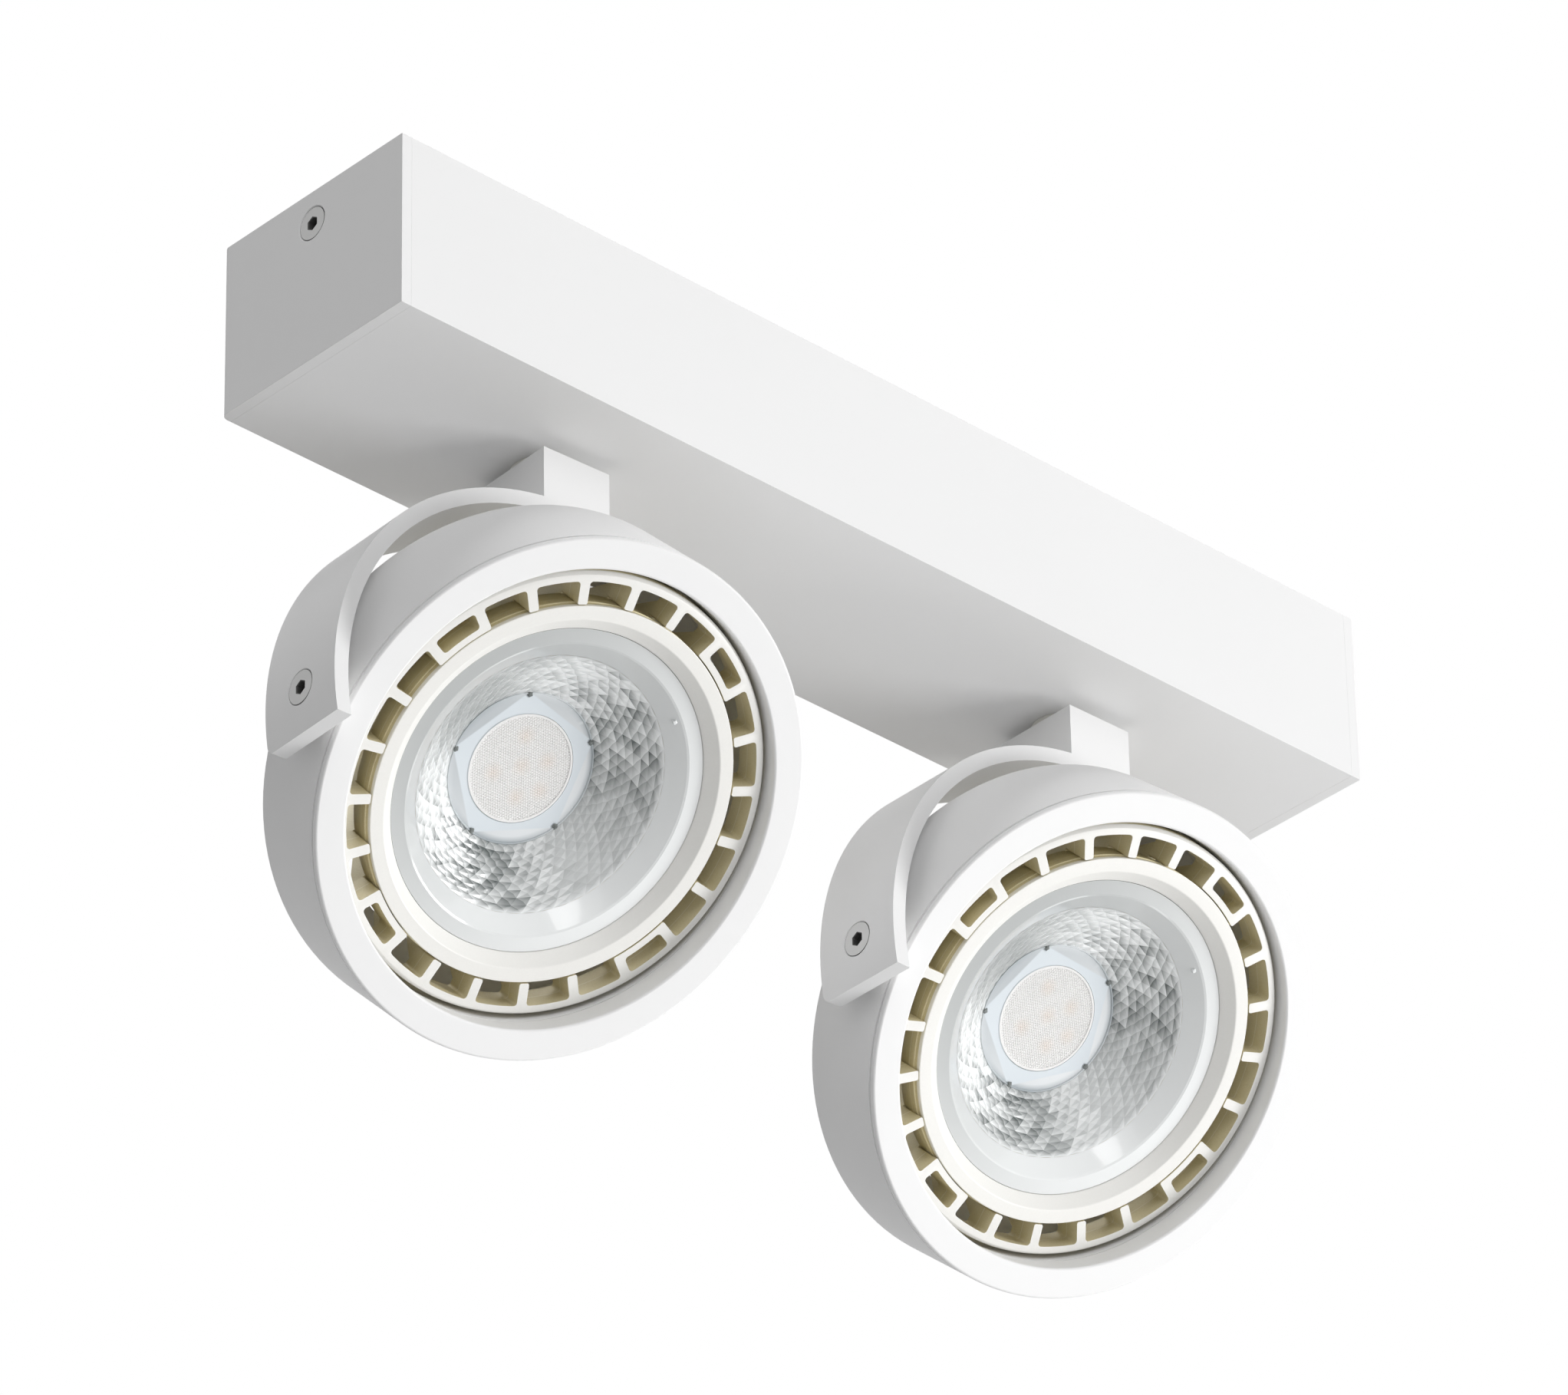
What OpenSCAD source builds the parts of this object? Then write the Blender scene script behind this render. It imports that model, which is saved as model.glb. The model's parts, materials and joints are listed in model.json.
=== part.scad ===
// Ceiling spotlight: a long box canopy that carries two round lamp heads.
// Each head hangs on one curved arm, which turns under the canopy, and tilts on a screw at its end.
// Sizes are millimetres. The origin is the middle of the face that meets the ceiling; Z points up.

/* [Canopy] */
// Length of the canopy over its end caps
canopy_l = 320; // [310:1:360]
// Width of the canopy
canopy_w = 65; // [60:1:80]
// Height of the canopy, from the ceiling to its underside
canopy_h = 48; // [46:1:60]
// Thickness of the profile's floor and side walls
canopy_wall = 2.5; // [2:0.1:3]
// Thickness of each end cap
cap_t = 3; // [2.8:0.1:4]
// Radius of the rear upright edge of an end cap
cap_edge_r = 2; // [1:0.1:2.5]
// Length of the foot on each end cap that pushes into the profile
cap_foot_l = 8; // [5:0.5:9]
// Height of that foot
cap_foot_h = 6; // [4:0.5:8]
// Distance of the end screws below the ceiling
cap_screw_drop = 9; // [8:0.5:10]

/* [Ceiling bracket] */
// Width of the steel strip that is screwed to the ceiling
bracket_w = 30; // [26:1:40]
// Thickness of the strip and of its bent-down tabs
bracket_t = 2; // [1.5:0.1:2.5]
// Gap between each tab and the end cap
bracket_play = 0.3; // [0.2:0.1:0.6]
// Height of each tab, from the ceiling
tab_h = 17; // [15:0.5:20]
// Width of each tab
tab_w = 20; // [16:1:24]
// Distance between the two round fixing holes
fixing_pitch = 220; // [200:1:240]
// Diameter of the round fixing holes
fixing_d = 5; // [4:0.5:6]
// Distance between the two fixing slots
slot_pitch = 140; // [120:1:160]
// Length of a fixing slot, end to end
slot_l = 14; // [10:1:18]
// Width of a fixing slot
slot_w = 5; // [4:0.5:6]
// Diameter of the hole for the supply cable
cable_hole_d = 18; // [16:1:20]
// Bore of the grommet in that hole
grommet_bore = 10; // [8:0.5:12]
// Width of the grommet's flange beyond the hole
grommet_lip = 2.5; // [2:0.5:3]
// Thickness of the grommet's flange
grommet_lip_t = 2; // [1.5:0.5:2.5]

/* [Swivel] */
// Distance between the two swivel axes
head_pitch = 174; // [168:1:190]
// Gap between the canopy and the neck of an arm
swivel_gap = 3; // [2:0.1:4]
// Diameter of the hollow threaded stem
stem_d = 10; // [10:0.5:12]
// Bore of the stem
stem_bore = 7; // [6.5:0.1:7.5]
// Length of stem inside the neck
stem_hold = 9; // [7:0.5:10]
// Length of stem above its nut
stem_over = 1.5; // [1:0.5:3]
// Diameter of the nylon spacer between canopy and neck
spacer_d = 16; // [14:0.5:18]
// Diameter of the stop washer
washer_d = 18; // [16:0.5:20]
// Thickness of the stop washer
washer_t = 1.5; // [1:0.1:2]
// Reach of the stop washer's tab from the axis
stop_r = 15; // [14.5:0.5:16]
// Width of that tab
stop_tab_w = 2.2; // [2:0.1:2.4]
// Diameter of the stop pin in the canopy floor
stop_pin_d = 2; // [1.5:0.1:2.2]
// Distance of the stop pin from the swivel axis
stop_pin_at = 13.6; // [13:0.1:14]
// Height of the stop pin above the floor
stop_pin_h = 3; // [2.5:0.5:4]
// Depth of the blind hole that holds the stop pin
stop_pin_seat = 1.5; // [1:0.1:1.6]
// Height of the disc spring
spring_h = 1.6; // [1.4:0.1:2]
// Thickness of the disc spring's steel
spring_t = 1; // [0.8:0.1:1.2]
// Height of the stem's nut
stem_nut_h = 6; // [5:0.5:8]
// Width of the stem's nut across its flats
stem_nut_af = 16; // [16:0.5:18]

/* [Yoke] */
// Width of the curved arm and of its neck, front to back
yoke_w = 26; // [22:1:30]
// Thickness of the arm
arm_t = 4; // [3.5:0.1:5]
// Gap between the arm and the head
arm_gap = 4; // [3:0.1:6]
// Length of the arm below the tilt axis
arm_below = 12; // [10:0.5:16]
// Width of the neck, along the canopy
neck_w = 20; // [18:0.5:26]
// Height of the neck above the arm
neck_h = 13.5; // [12.5:0.5:20]
// Radius of the arm's rear lower corner
arm_corner_r = 2; // [1:0.5:3]
// Diameter of the hole for the lead at the back of the neck
outlet_d = 6; // [5:0.5:6.5]
// Thickness of the wall of the rubber bush in that hole
bush_wall = 0.7; // [0.5:0.1:1]
// Length of the bush inside the neck
bush_l = 5; // [4:0.5:6]
// Thickness of the bush's flange
bush_lip_t = 1.5; // [1:0.1:2]
// Width of the bush's flange beyond the hole
bush_lip = 1.5; // [1:0.1:2]

/* [Head] */
// Gap around the lamp
lamp_gap = 0.75; // [0.6:0.05:1.5]
// Width of the white ring's face
rim_w = 7.75; // [7:0.25:10]
// Distance of the ring's face in front of the tilt axis
head_front = 9.7; // [9:0.1:12]
// Distance of the back of the head behind the tilt axis
head_back = 18.3; // [17:0.1:19]
// Thickness of the ring's face plate
ring_t = 1.5; // [1.2:0.1:2]
// Width of the shadow groove behind it
groove_w = 0.6; // [0.4:0.1:0.8]
// Depth of the shadow groove
groove_d = 0.5; // [0.3:0.1:0.8]
// Thickness of the ring's spigot
spigot_t = 3; // [2:0.5:4]
// Length of the ring's spigot
spigot_l = 4.4; // [3:0.1:4.6]
// Bevel on the edges of the ring's face
ring_bevel = 0.4; // [0.2:0.1:0.6]
// Thickness of the web at the back of the head
web_t = 2.5; // [2:0.1:3]
// Gap between the lamp's fins and the web
web_play = 2.6; // [2.4:0.1:4]

/* [Pivot] */
// Diameter of a pivot or end screw
screw_d = 5; // [4:0.5:5.5]
// Diameter of its countersunk head
screw_head_d = 9; // [8:0.5:9.5]
// Width of its hexagon socket across the flats
socket_af = 3; // [2.5:0.5:3]
// Depth of its socket
socket_depth = 2.2; // [1.8:0.1:2.4]
// Depth of a screw head below the surface around it
screw_sink = 0.15; // [0.1:0.05:0.3]
// Length of a pivot screw
pivot_screw_l = 14; // [12:0.5:15]
// Diameter of the friction washer between arm and head
pivot_washer_d = 12; // [10:0.5:14]
// Depth of the flat seat for that washer
washer_seat = 0.4; // [0.4:0.1:0.6]

/* [Lamp] */
// Diameter of the lamp
lamp_d = 111; // [108:0.5:115]
// Distance of the lamp's face behind the ring's face
lamp_recess = 4.7; // [4.5:0.1:6]
// Angle by which the lamp hangs down in its seat
lamp_lean = 3.5; // [0:0.1:3.6]
// Height of the lamp's rim
rim_h = 9; // [8:0.5:9.5]
// Width of the rounding at the rim's front
rim_round = 1.4; // [1:0.1:2]
// Height of that rounding
rim_round_h = 3; // [2:0.5:4]
// Width of the flat on the rim's face
rim_land = 1.1; // [0.8:0.1:2]
// Length of a slot, along the radius
slot_len = 5.7; // [5:0.1:6.5]
// Count of the teeth and slots around the lamp
tooth_count = 24; // [20:1:30]
// Width of a tooth, and thickness of the fin behind it
tooth_w = 2.5; // [2:0.1:3]
// Width of the bar that closes a window
window_bar = 1.6; // [1:0.1:2]
// Depth of that bar
window_bar_h = 3; // [2:0.5:4]
// Gap between the teeth and the front trim
trim_gap = 0.3; // [0.2:0.1:0.5]
// Width of the front trim
trim_w = 6.5; // [6:0.1:8]
// Width of the flat on the front trim
trim_flat_w = 3.5; // [3:0.1:4]
// Height of the front trim
trim_h = 5; // [4.8:0.1:6]
// Thickness of the front trim's outer lip
trim_lip_t = 1.5; // [1:0.1:2]
// Width of the front trim's outer lip
trim_lip_w = 1.5; // [1:0.1:2]
// Drop of the front trim's sloped face
trim_drop = 2.8; // [2.4:0.1:3]
// Depth of the heat sink behind the lamp's face
sink_h = 36; // [34:1:40]
// Width of the shoulder between the rim's edge and the fins
sink_shoulder = 4.5; // [4.5:0.1:5.5]
// Narrowing of the fins' radius from the rim to the back
sink_taper = 15; // [13:0.5:16]
// Depth of the fins at their back
fin_depth = 5; // [3:0.5:5.5]
// Thickness of the lens flange
lens_t = 1.6; // [1.2:0.1:1.8]
// Width of the lens flange
lens_flange_w = 3.5; // [3:0.1:4]
// Width of the smooth slope inside the flange
lens_slope_w = 4.6; // [3:0.1:6]
// Height of that slope
lens_slope_h = 4; // [3:0.1:5]
// Radius of the lens where its bowl ends
lens_well_r = 19.1; // [18:0.1:19.5]
// Depth of the lens bowl behind the lamp's face
lens_depth = 18; // [17:0.1:19]
// Radius of the honeycomb diffuser
diffuser_r = 13.6; // [12:0.1:14.5]
// Thickness of the diffuser
diffuser_t = 1; // [0.8:0.1:1.4]
// Radius of the board that carries the light chips
board_r = 19.5; // [18.5:0.5:20]
// Thickness of that board
board_t = 1.6; // [1:0.1:1.6]
// Width of a light chip
chip_w = 2.8; // [2:0.1:3]
// Distance between light chips
chip_pitch = 4.6; // [4:0.1:5]
// Step from the back of the fins in to the plastic cap behind them
base_step = 2; // [1:0.5:3]
// Thickness of that cap
base_t = 4; // [3:0.5:5]
// Distance between the lamp's two contact blades
blade_pitch = 53; // [50:0.5:54]
// Width of a contact blade
blade_w = 5; // [4:0.5:6]
// Thickness of a contact blade
blade_t = 1; // [0.8:0.1:1.2]
// Length of a contact blade
blade_l = 6; // [5:0.5:7]
// Length of the plug-on lampholder
holder_l = 65; // [62:1:68]
// Width of the lampholder
holder_w = 13; // [11:0.5:16]
// Height of the lampholder
holder_h = 9; // [8:0.5:10]

/* [Lamp clips] */
// Count of the spring clips that hold the lamp
clip_count = 3; // [3:1:4]
// Width of a clip
clip_w = 8; // [6:0.5:10]
// Thickness of a clip's steel
clip_t = 0.8; // [0.5:0.1:1]
// Gap between a clip's leaf and the bore of the head
clip_wall_gap = 1.4; // [1:0.1:1.6]
// Length of a clip's foot
clip_foot = 6; // [5.5:0.5:6.5]
// Diameter of a clip's rivet
rivet_d = 2.4; // [2:0.1:2.6]
// Diameter of a rivet's head
rivet_head_d = 4.4; // [4:0.1:4.6]
// Height of a rivet's head
rivet_head_h = 0.9; // [0.7:0.1:1.1]

/* [Driver] */
// Length of the driver's case
driver_l = 120; // [100:1:122]
// Width of the driver's case
driver_w = 42; // [36:1:48]
// Height of the driver's case with its lid
driver_h = 26; // [24:1:30]
// Wall of the driver's case
driver_wall = 1.6; // [1.4:0.1:2]
// Thickness of the driver's lid
driver_lid_t = 1.6; // [1.4:0.1:2]
// Length of each fixing ear
ear_l = 7; // [6.5:0.5:8]
// Width of each fixing ear
ear_w = 12; // [10:1:16]
// Thickness of each fixing ear
ear_t = 2; // [1.5:0.1:2.5]
// Diameter of the studs that hold the driver
stud_d = 3; // [2.5:0.1:3.2]
// Length of those studs
stud_l = 6; // [5.5:0.5:7]
// Height of the driver's circuit board above its case floor
pcb_lift = 3; // [2:0.5:4]
// Thickness of the circuit board
pcb_t = 1.6; // [1.2:0.1:2]
// Length of the transformer on the board
transformer_l = 26; // [20:1:30]
// Width of the transformer
transformer_w = 22; // [18:1:26]
// Diameter of the two capacitors
capacitor_d = 10; // [8:0.5:12]
// Distance between the two capacitors
capacitor_pitch = 60; // [46:1:62]
// Length of each terminal at the board's ends
board_terminal_l = 8; // [6:0.5:10]
// Width of each terminal
board_terminal_w = 28; // [20:1:29]

/* [Terminals] */
// Height of the wire holes above the canopy's floor
entry_lift = 15; // [12:0.5:17]
// Diameter of the lamp lead holes in the driver's ends
entry_d = 4.6; // [4:0.1:5]
// Diameter of the mains lead hole in the driver's right end
mains_entry_d = 6.2; // [5:0.1:7]
// Distance of the mains lead hole and the terminal block behind the middle of the canopy
mains_y = 12; // [11:0.5:13]
// Length of the terminal block
terminal_l = 28; // [24:1:30]
// Width of the terminal block
terminal_w = 24; // [22:1:26]
// Height of the terminal block
terminal_h = 22; // [20:1:24]
// Distance between the terminal block's poles
pole_pitch = 8; // [7.5:0.5:8]
// Diameter of a terminal screw
terminal_screw_d = 4; // [3:0.5:4.5]
// Depth of a terminal screw's hole
terminal_screw_hole = 5; // [4:0.5:6]
// Diameter of the holes for the wires
wire_hole_d = 3.6; // [3:0.1:4]
// Diameter of the earth stud
earth_d = 4; // [3.5:0.5:5]
// Length of the earth stud
earth_l = 10; // [9:0.5:12]
// Distance of the earth stud in front of the middle of the canopy
earth_y = 18; // [16:0.5:20]
// Diameter of the earth stud's washer
earth_washer_d = 10; // [9:0.5:12]

/* [Pose] */
// Turn of the left arm
left_pan = -3; // [-10:0.5:10]
// Angle of the left head below the horizontal
left_tilt = 44; // [30:0.5:60]
// Turn of the left lamp in its seat
left_roll = 59; // [0:1:89]
// Turn of the right arm
right_pan = -1; // [-10:0.5:10]
// Angle of the right head below the horizontal
right_tilt = 40; // [30:0.5:60]
// Turn of the right lamp in its seat
right_roll = 68; // [0:1:89]

/* [Fits] */
// Clearance on the radius of a screw, pin or stem in its hole
run_fit = 0.05; // [0.03:0.01:0.08]
// Gap between flat faces that slide
face_gap = 0.05; // [0.03:0.01:0.1]
// Clearance around a piece that pushes into another
push_fit = 0.1; // [0.05:0.05:0.2]

/* [Hidden] */
$fn = 96;
eps = 0.01;
LEFT = 0;
RIGHT = 1;

// Canopy
floor_z = -canopy_h + canopy_wall;
inner_w = canopy_w - 2 * canopy_wall;
profile_l = canopy_l - 2 * cap_t;
cap_hole_r = screw_head_d / 2 + screw_sink;
sink_cone_h = (screw_head_d - screw_d) / 2;

// Ceiling bracket
bracket_l = profile_l - 2 * bracket_play;
bracket_nut_af = 1.6 * screw_d;
bracket_nut_h = 0.8 * screw_d;
end_screw_l = cap_t + bracket_play + bracket_t + bracket_nut_h + 2;
cable_hole_r = cable_hole_d / 2;

// Head and yoke radii grow outwards from the lamp
lamp_r = lamp_d / 2;
bore_r = lamp_r + lamp_gap;
head_r = bore_r + rim_w;
yoke_in_r = head_r + arm_gap;
yoke_out_r = yoke_in_r + arm_t;
neck_top = yoke_out_r + neck_h;
pivot_drop = canopy_h + swivel_gap + neck_top;

// Swivel stack, from the canopy floor upwards
stem_hole_r = stem_d / 2 + run_fit;
washer_z = floor_z + face_gap;
spring_z = washer_z + washer_t;
nut_z = spring_z + spring_h;
stem_top = nut_z + stem_nut_h + stem_over;
stem_foot = neck_top - stem_hold;
outlet_z = stem_foot - outlet_d / 2;

// Lamp
slot_out_r = lamp_r - rim_round - rim_land;
slot_in_r = slot_out_r - slot_len;
trim_r = slot_in_r - trim_gap;
trim_bore_r = trim_r - trim_w;
trim_step_r = trim_r - trim_lip_w;
core_r = trim_r - trim_gap;
lens_r = trim_bore_r - push_fit;
lens_bowl_r = lens_r - lens_flange_w;
lens_top = -trim_drop - 0.2;
lens_back = lens_top - lens_t;
lens_slope_r = lens_bowl_r - lens_slope_w;
lens_slope_z = lens_top - lens_slope_h;
well_floor = -lens_depth - lens_t;
cavity_r = board_r + 1;
board_top = well_floor - 0.4;
cavity_floor = board_top - board_t - face_gap;
lamp_z = head_front - lamp_recess;
sink_front_r = lamp_r - sink_shoulder;
sink_back_r = sink_front_r - sink_taper;
core_back_r = sink_back_r - fin_depth;
base_r = sink_back_r - base_step;
fin_slope = (sink_front_r - sink_back_r) / (sink_h - rim_h);
web_z = -head_back + web_t;
web_r = sink_front_r - fin_slope * (lamp_z - web_z - rim_h) + web_play;
window_pitch = round(tooth_count / 4) * 360 / tooth_count;

// Clips stand on the web and reach up to the back of the lamp's rim
clip_r = bore_r - clip_wall_gap;
rivet_r = clip_r - clip_foot / 2 - clip_t / 2;
function rim_back(angle) = lamp_z + sin(lamp_lean) * clip_r * sin(angle) - cos(lamp_lean) * rim_h;

// Driver and terminals
driver_z = floor_z;
entry_z = floor_z + entry_lift;
ear_x = driver_l / 2 + ear_l / 2;
nut_af = 1.8 * stud_d;
bay_x = (head_pitch / 2 + stop_r + profile_l / 2 - cap_foot_l) / 2;
terminal_x = bay_x - terminal_l / 2;

function head_x(side) = (side == LEFT ? -1 : 1) * head_pitch / 2;
function pan(side) = side == LEFT ? left_pan : right_pan;
function tilt(side) = side == LEFT ? left_tilt : right_tilt;
function roll(side) = side == LEFT ? left_roll : right_roll;

// A yoke's frame has its origin on the tilt axis, in the middle of the head
module at_yoke(side) {
    translate([head_x(side), 0, -pivot_drop]) rotate([0, 0, pan(side)]) children();
}

// A head's frame has Z forwards along the light and X along the tilt axis
module at_head(side) {
    at_yoke(side) rotate([90 + tilt(side), 0, 0]) children();
}

// A lamp's frame has its origin in the middle of the lamp's face
module at_lamp(side) {
    at_head(side) translate([0, 0, lamp_z]) rotate([lamp_lean, 0, 0]) rotate([0, 0, roll(side)]) children();
}

// The swivel's frame stands on the canopy's own height
module at_swivel(side) {
    translate([head_x(side), 0, 0]) rotate([0, 0, pan(side)]) children();
}

module tube(r, bore, h) {
    difference() {
        cylinder(r = r, h = h);
        translate([0, 0, -eps]) cylinder(r = bore, h = h + 2 * eps);
    }
}

module hex_nut(af, bore, h) {
    difference() {
        cylinder(r = af / 2 / cos(30), h = h, $fn = 6);
        translate([0, 0, -eps]) cylinder(r = bore, h = h + 2 * eps);
    }
}

// A countersunk screw with its head's face at the origin, pointing down
module countersunk_screw(length) {
    difference() {
        union() {
            translate([0, 0, -sink_cone_h])
                cylinder(r1 = screw_d / 2, r2 = screw_head_d / 2, h = sink_cone_h);
            translate([0, 0, -length]) cylinder(r = screw_d / 2, h = length - sink_cone_h + eps);
        }
        translate([0, 0, -socket_depth])
            cylinder(r = socket_af / 2 / cos(30), h = socket_depth + eps, $fn = 6);
    }
}

// The hole for that screw, from a surface at the origin down
module countersunk_hole(length) {
    hole_r = screw_d / 2 + run_fit;
    translate([0, 0, -screw_sink]) cylinder(r = cap_hole_r, h = screw_sink + 1);
    translate([0, 0, -screw_sink - sink_cone_h])
        cylinder(r1 = hole_r, r2 = cap_hole_r, h = sink_cone_h);
    translate([0, 0, -length]) cylinder(r = hole_r, h = length);
}

module canopy_body() {
    color("white") difference() {
        union() {
            difference() {
                translate([-profile_l / 2, -canopy_w / 2, -canopy_h])
                    cube([profile_l, canopy_w, canopy_h]);
                translate([-profile_l / 2 - 1, -inner_w / 2, floor_z])
                    cube([profile_l + 2, inner_w, canopy_h]);
            }
            for (s = [-1, 1]) translate([s * ear_x, 0, floor_z - eps]) cylinder(d = stud_d, h = stud_l);
            translate([bay_x, -earth_y, floor_z - eps]) cylinder(d = earth_d, h = earth_l);
        }
        for (side = [LEFT, RIGHT]) translate([head_x(side), 0, -canopy_h]) {
            translate([0, 0, -1]) cylinder(r = stem_hole_r, h = canopy_wall + 2);
            translate([0, -stop_pin_at, canopy_wall - stop_pin_seat])
                cylinder(r = stop_pin_d / 2 + run_fit, h = stop_pin_seat + 1);
        }
    }
}

module end_cap(side) {
    inner_y = inner_w / 2 - push_fit;
    color("white") mirror([side == LEFT ? 0 : 1, 0, 0]) translate([-canopy_l / 2, 0, 0]) difference() {
        union() {
            difference() {
                translate([0, -canopy_w / 2, -canopy_h]) cube([cap_t, canopy_w, canopy_h]);
                cap_edge();
            }
            translate([cap_t - eps, -inner_y, floor_z + push_fit])
                cube([cap_foot_l, 2 * inner_y, cap_foot_h]);
        }
        translate([0, 0, -cap_screw_drop]) rotate([0, -90, 0]) countersunk_hole(cap_t + 1);
    }
}

// What rounds the rear upright edge of an end cap
module cap_edge() {
    translate([cap_edge_r, canopy_w / 2 - cap_edge_r, -canopy_h - 1]) difference() {
        translate([-cap_edge_r - 1, 0, 0]) cube([cap_edge_r + 1, cap_edge_r + 1, canopy_h + 2]);
        translate([0, 0, -1]) cylinder(r = cap_edge_r, h = canopy_h + 4);
    }
}

module ceiling_bracket() {
    color("silver") difference() {
        union() {
            translate([-bracket_l / 2, -bracket_w / 2, -bracket_t]) cube([bracket_l, bracket_w, bracket_t]);
            for (s = [-1, 1]) translate([s * (bracket_l - bracket_t) / 2, 0, -tab_h / 2])
                cube([bracket_t, tab_w, tab_h], center = true);
        }
        translate([0, 0, -bracket_t - 1]) cylinder(r = cable_hole_r, h = bracket_t + 2);
        for (s = [-1, 1]) {
            translate([s * fixing_pitch / 2, 0, -bracket_t - 1]) cylinder(d = fixing_d, h = bracket_t + 2);
            translate([s * slot_pitch / 2, 0, 0]) {
                cube([slot_l - slot_w, slot_w, 2 * bracket_t + 2], center = true);
                for (e = [-1, 1]) translate([e * (slot_l - slot_w) / 2, 0, -bracket_t - 1])
                    cylinder(d = slot_w, h = bracket_t + 2);
            }
            translate([s * bracket_l / 2, 0, -cap_screw_drop]) rotate([0, 90, 0])
                cylinder(r = screw_d / 2 + run_fit, h = 3 * bracket_t, center = true);
        }
    }
}

module bracket_nuts() {
    color("silver") for (s = [-1, 1])
        translate([s * (bracket_l / 2 - bracket_t), 0, -cap_screw_drop]) rotate([0, -90 * s, 0])
            hex_nut(bracket_nut_af, screw_d / 2 + run_fit, bracket_nut_h);
}

module end_screws() {
    color("white") for (s = [-1, 1])
        translate([s * (canopy_l / 2 - screw_sink), 0, -cap_screw_drop]) rotate([0, 90 * s, 0])
            countersunk_screw(end_screw_l);
}

module cable_grommet() {
    color("dimgray") difference() {
        union() {
            translate([0, 0, -bracket_t]) cylinder(r = cable_hole_r - push_fit, h = bracket_t);
            translate([0, 0, -bracket_t - grommet_lip_t])
                cylinder(r = cable_hole_r + grommet_lip, h = grommet_lip_t);
        }
        translate([0, 0, -bracket_t - grommet_lip_t - 1])
            cylinder(d = grommet_bore, h = bracket_t + grommet_lip_t + 2);
    }
}

module stop_pins() {
    color("silver") for (side = [LEFT, RIGHT])
        translate([head_x(side), -stop_pin_at, floor_z - stop_pin_seat])
            cylinder(d = stop_pin_d, h = stop_pin_seat + stop_pin_h);
}

// Holes in the ends of the driver's case, where the leads go in
module driver_entries() {
    for (s = [-1, 1]) translate([s * driver_l / 2, 0, entry_z]) rotate([0, 90, 0])
        cylinder(d = entry_d, h = 4 * driver_wall, center = true);
    translate([driver_l / 2, mains_y, entry_z]) rotate([0, 90, 0])
        cylinder(d = mains_entry_d, h = 4 * driver_wall, center = true);
}

module driver_case() {
    wall2 = 2 * driver_wall;
    color("ivory") difference() {
        union() {
            translate([-driver_l / 2, -driver_w / 2, driver_z])
                cube([driver_l, driver_w, driver_h - driver_lid_t]);
            translate([-driver_l / 2 - ear_l, -ear_w / 2, driver_z])
                cube([driver_l + 2 * ear_l, ear_w, ear_t]);
        }
        translate([-driver_l / 2 + driver_wall, -driver_w / 2 + driver_wall, driver_z + driver_wall])
            cube([driver_l - wall2, driver_w - wall2, driver_h]);
        for (s = [-1, 1]) translate([s * ear_x, 0, driver_z - 1])
            cylinder(r = stud_d / 2 + run_fit, h = ear_t + 2);
        driver_entries();
    }
}

module driver_lid() {
    inset = driver_wall + push_fit;
    lid_z = driver_z + driver_h - driver_lid_t;
    lip_h = 1.5;
    color("ivory") union() {
        translate([-driver_l / 2, -driver_w / 2, lid_z]) cube([driver_l, driver_w, driver_lid_t]);
        difference() {
            translate([-driver_l / 2 + inset, -driver_w / 2 + inset, lid_z - lip_h])
                cube([driver_l - 2 * inset, driver_w - 2 * inset, lip_h + eps]);
            translate([-driver_l / 2 + 2 * inset, -driver_w / 2 + 2 * inset, lid_z - lip_h - 1])
                cube([driver_l - 4 * inset, driver_w - 4 * inset, lip_h + 1]);
        }
    }
}

// The board stands on four short posts and carries a transformer, two capacitors and two terminals
module driver_board() {
    pcb_l = driver_l - 2 * driver_wall - 1;
    pcb_w = driver_w - 2 * driver_wall - 1;
    pcb_z = driver_z + driver_wall + pcb_lift;
    top = pcb_z + pcb_t - eps;
    room = entry_lift + floor_z - top - 2;
    color("seagreen") union() {
        translate([-pcb_l / 2, -pcb_w / 2, pcb_z]) cube([pcb_l, pcb_w, pcb_t]);
        for (sx = [-1, 1], sy = [-1, 1])
            translate([sx * (pcb_l / 2 - 5), sy * (pcb_w / 2 - 5), pcb_z - pcb_lift])
                cylinder(d = 4, h = pcb_lift + eps);
        translate([-transformer_l / 2, -transformer_w / 2, top])
            cube([transformer_l, transformer_w, room]);
        for (s = [-1, 1]) {
            translate([s * capacitor_pitch / 2, 0, top]) cylinder(d = capacitor_d, h = room);
            translate([s * (pcb_l / 2 - 8) - board_terminal_l / 2, -board_terminal_w / 2, top])
                cube([board_terminal_l, board_terminal_w, room]);
        }
    }
}

module driver_nuts() {
    color("silver") for (s = [-1, 1]) translate([s * ear_x, 0, driver_z + ear_t])
        hex_nut(nut_af, stud_d / 2 + run_fit, 0.8 * stud_d);
}

module terminal_block() {
    screw_hole_z = floor_z + terminal_h - terminal_screw_hole;
    color("whitesmoke") difference() {
        translate([terminal_x, mains_y - terminal_w / 2, floor_z])
            cube([terminal_l, terminal_w, terminal_h]);
        for (pole = [-1, 0, 1]) translate([bay_x, mains_y + pole * pole_pitch, 0]) {
            for (s = [-1, 1]) translate([s * terminal_l / 4, 0, screw_hole_z])
                cylinder(r = terminal_screw_d / 2 + run_fit, h = terminal_screw_hole + 1);
            translate([0, 0, entry_z - 3]) rotate([0, 90, 0])
                cylinder(d = wire_hole_d, h = terminal_l + 2, center = true);
        }
    }
}

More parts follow.
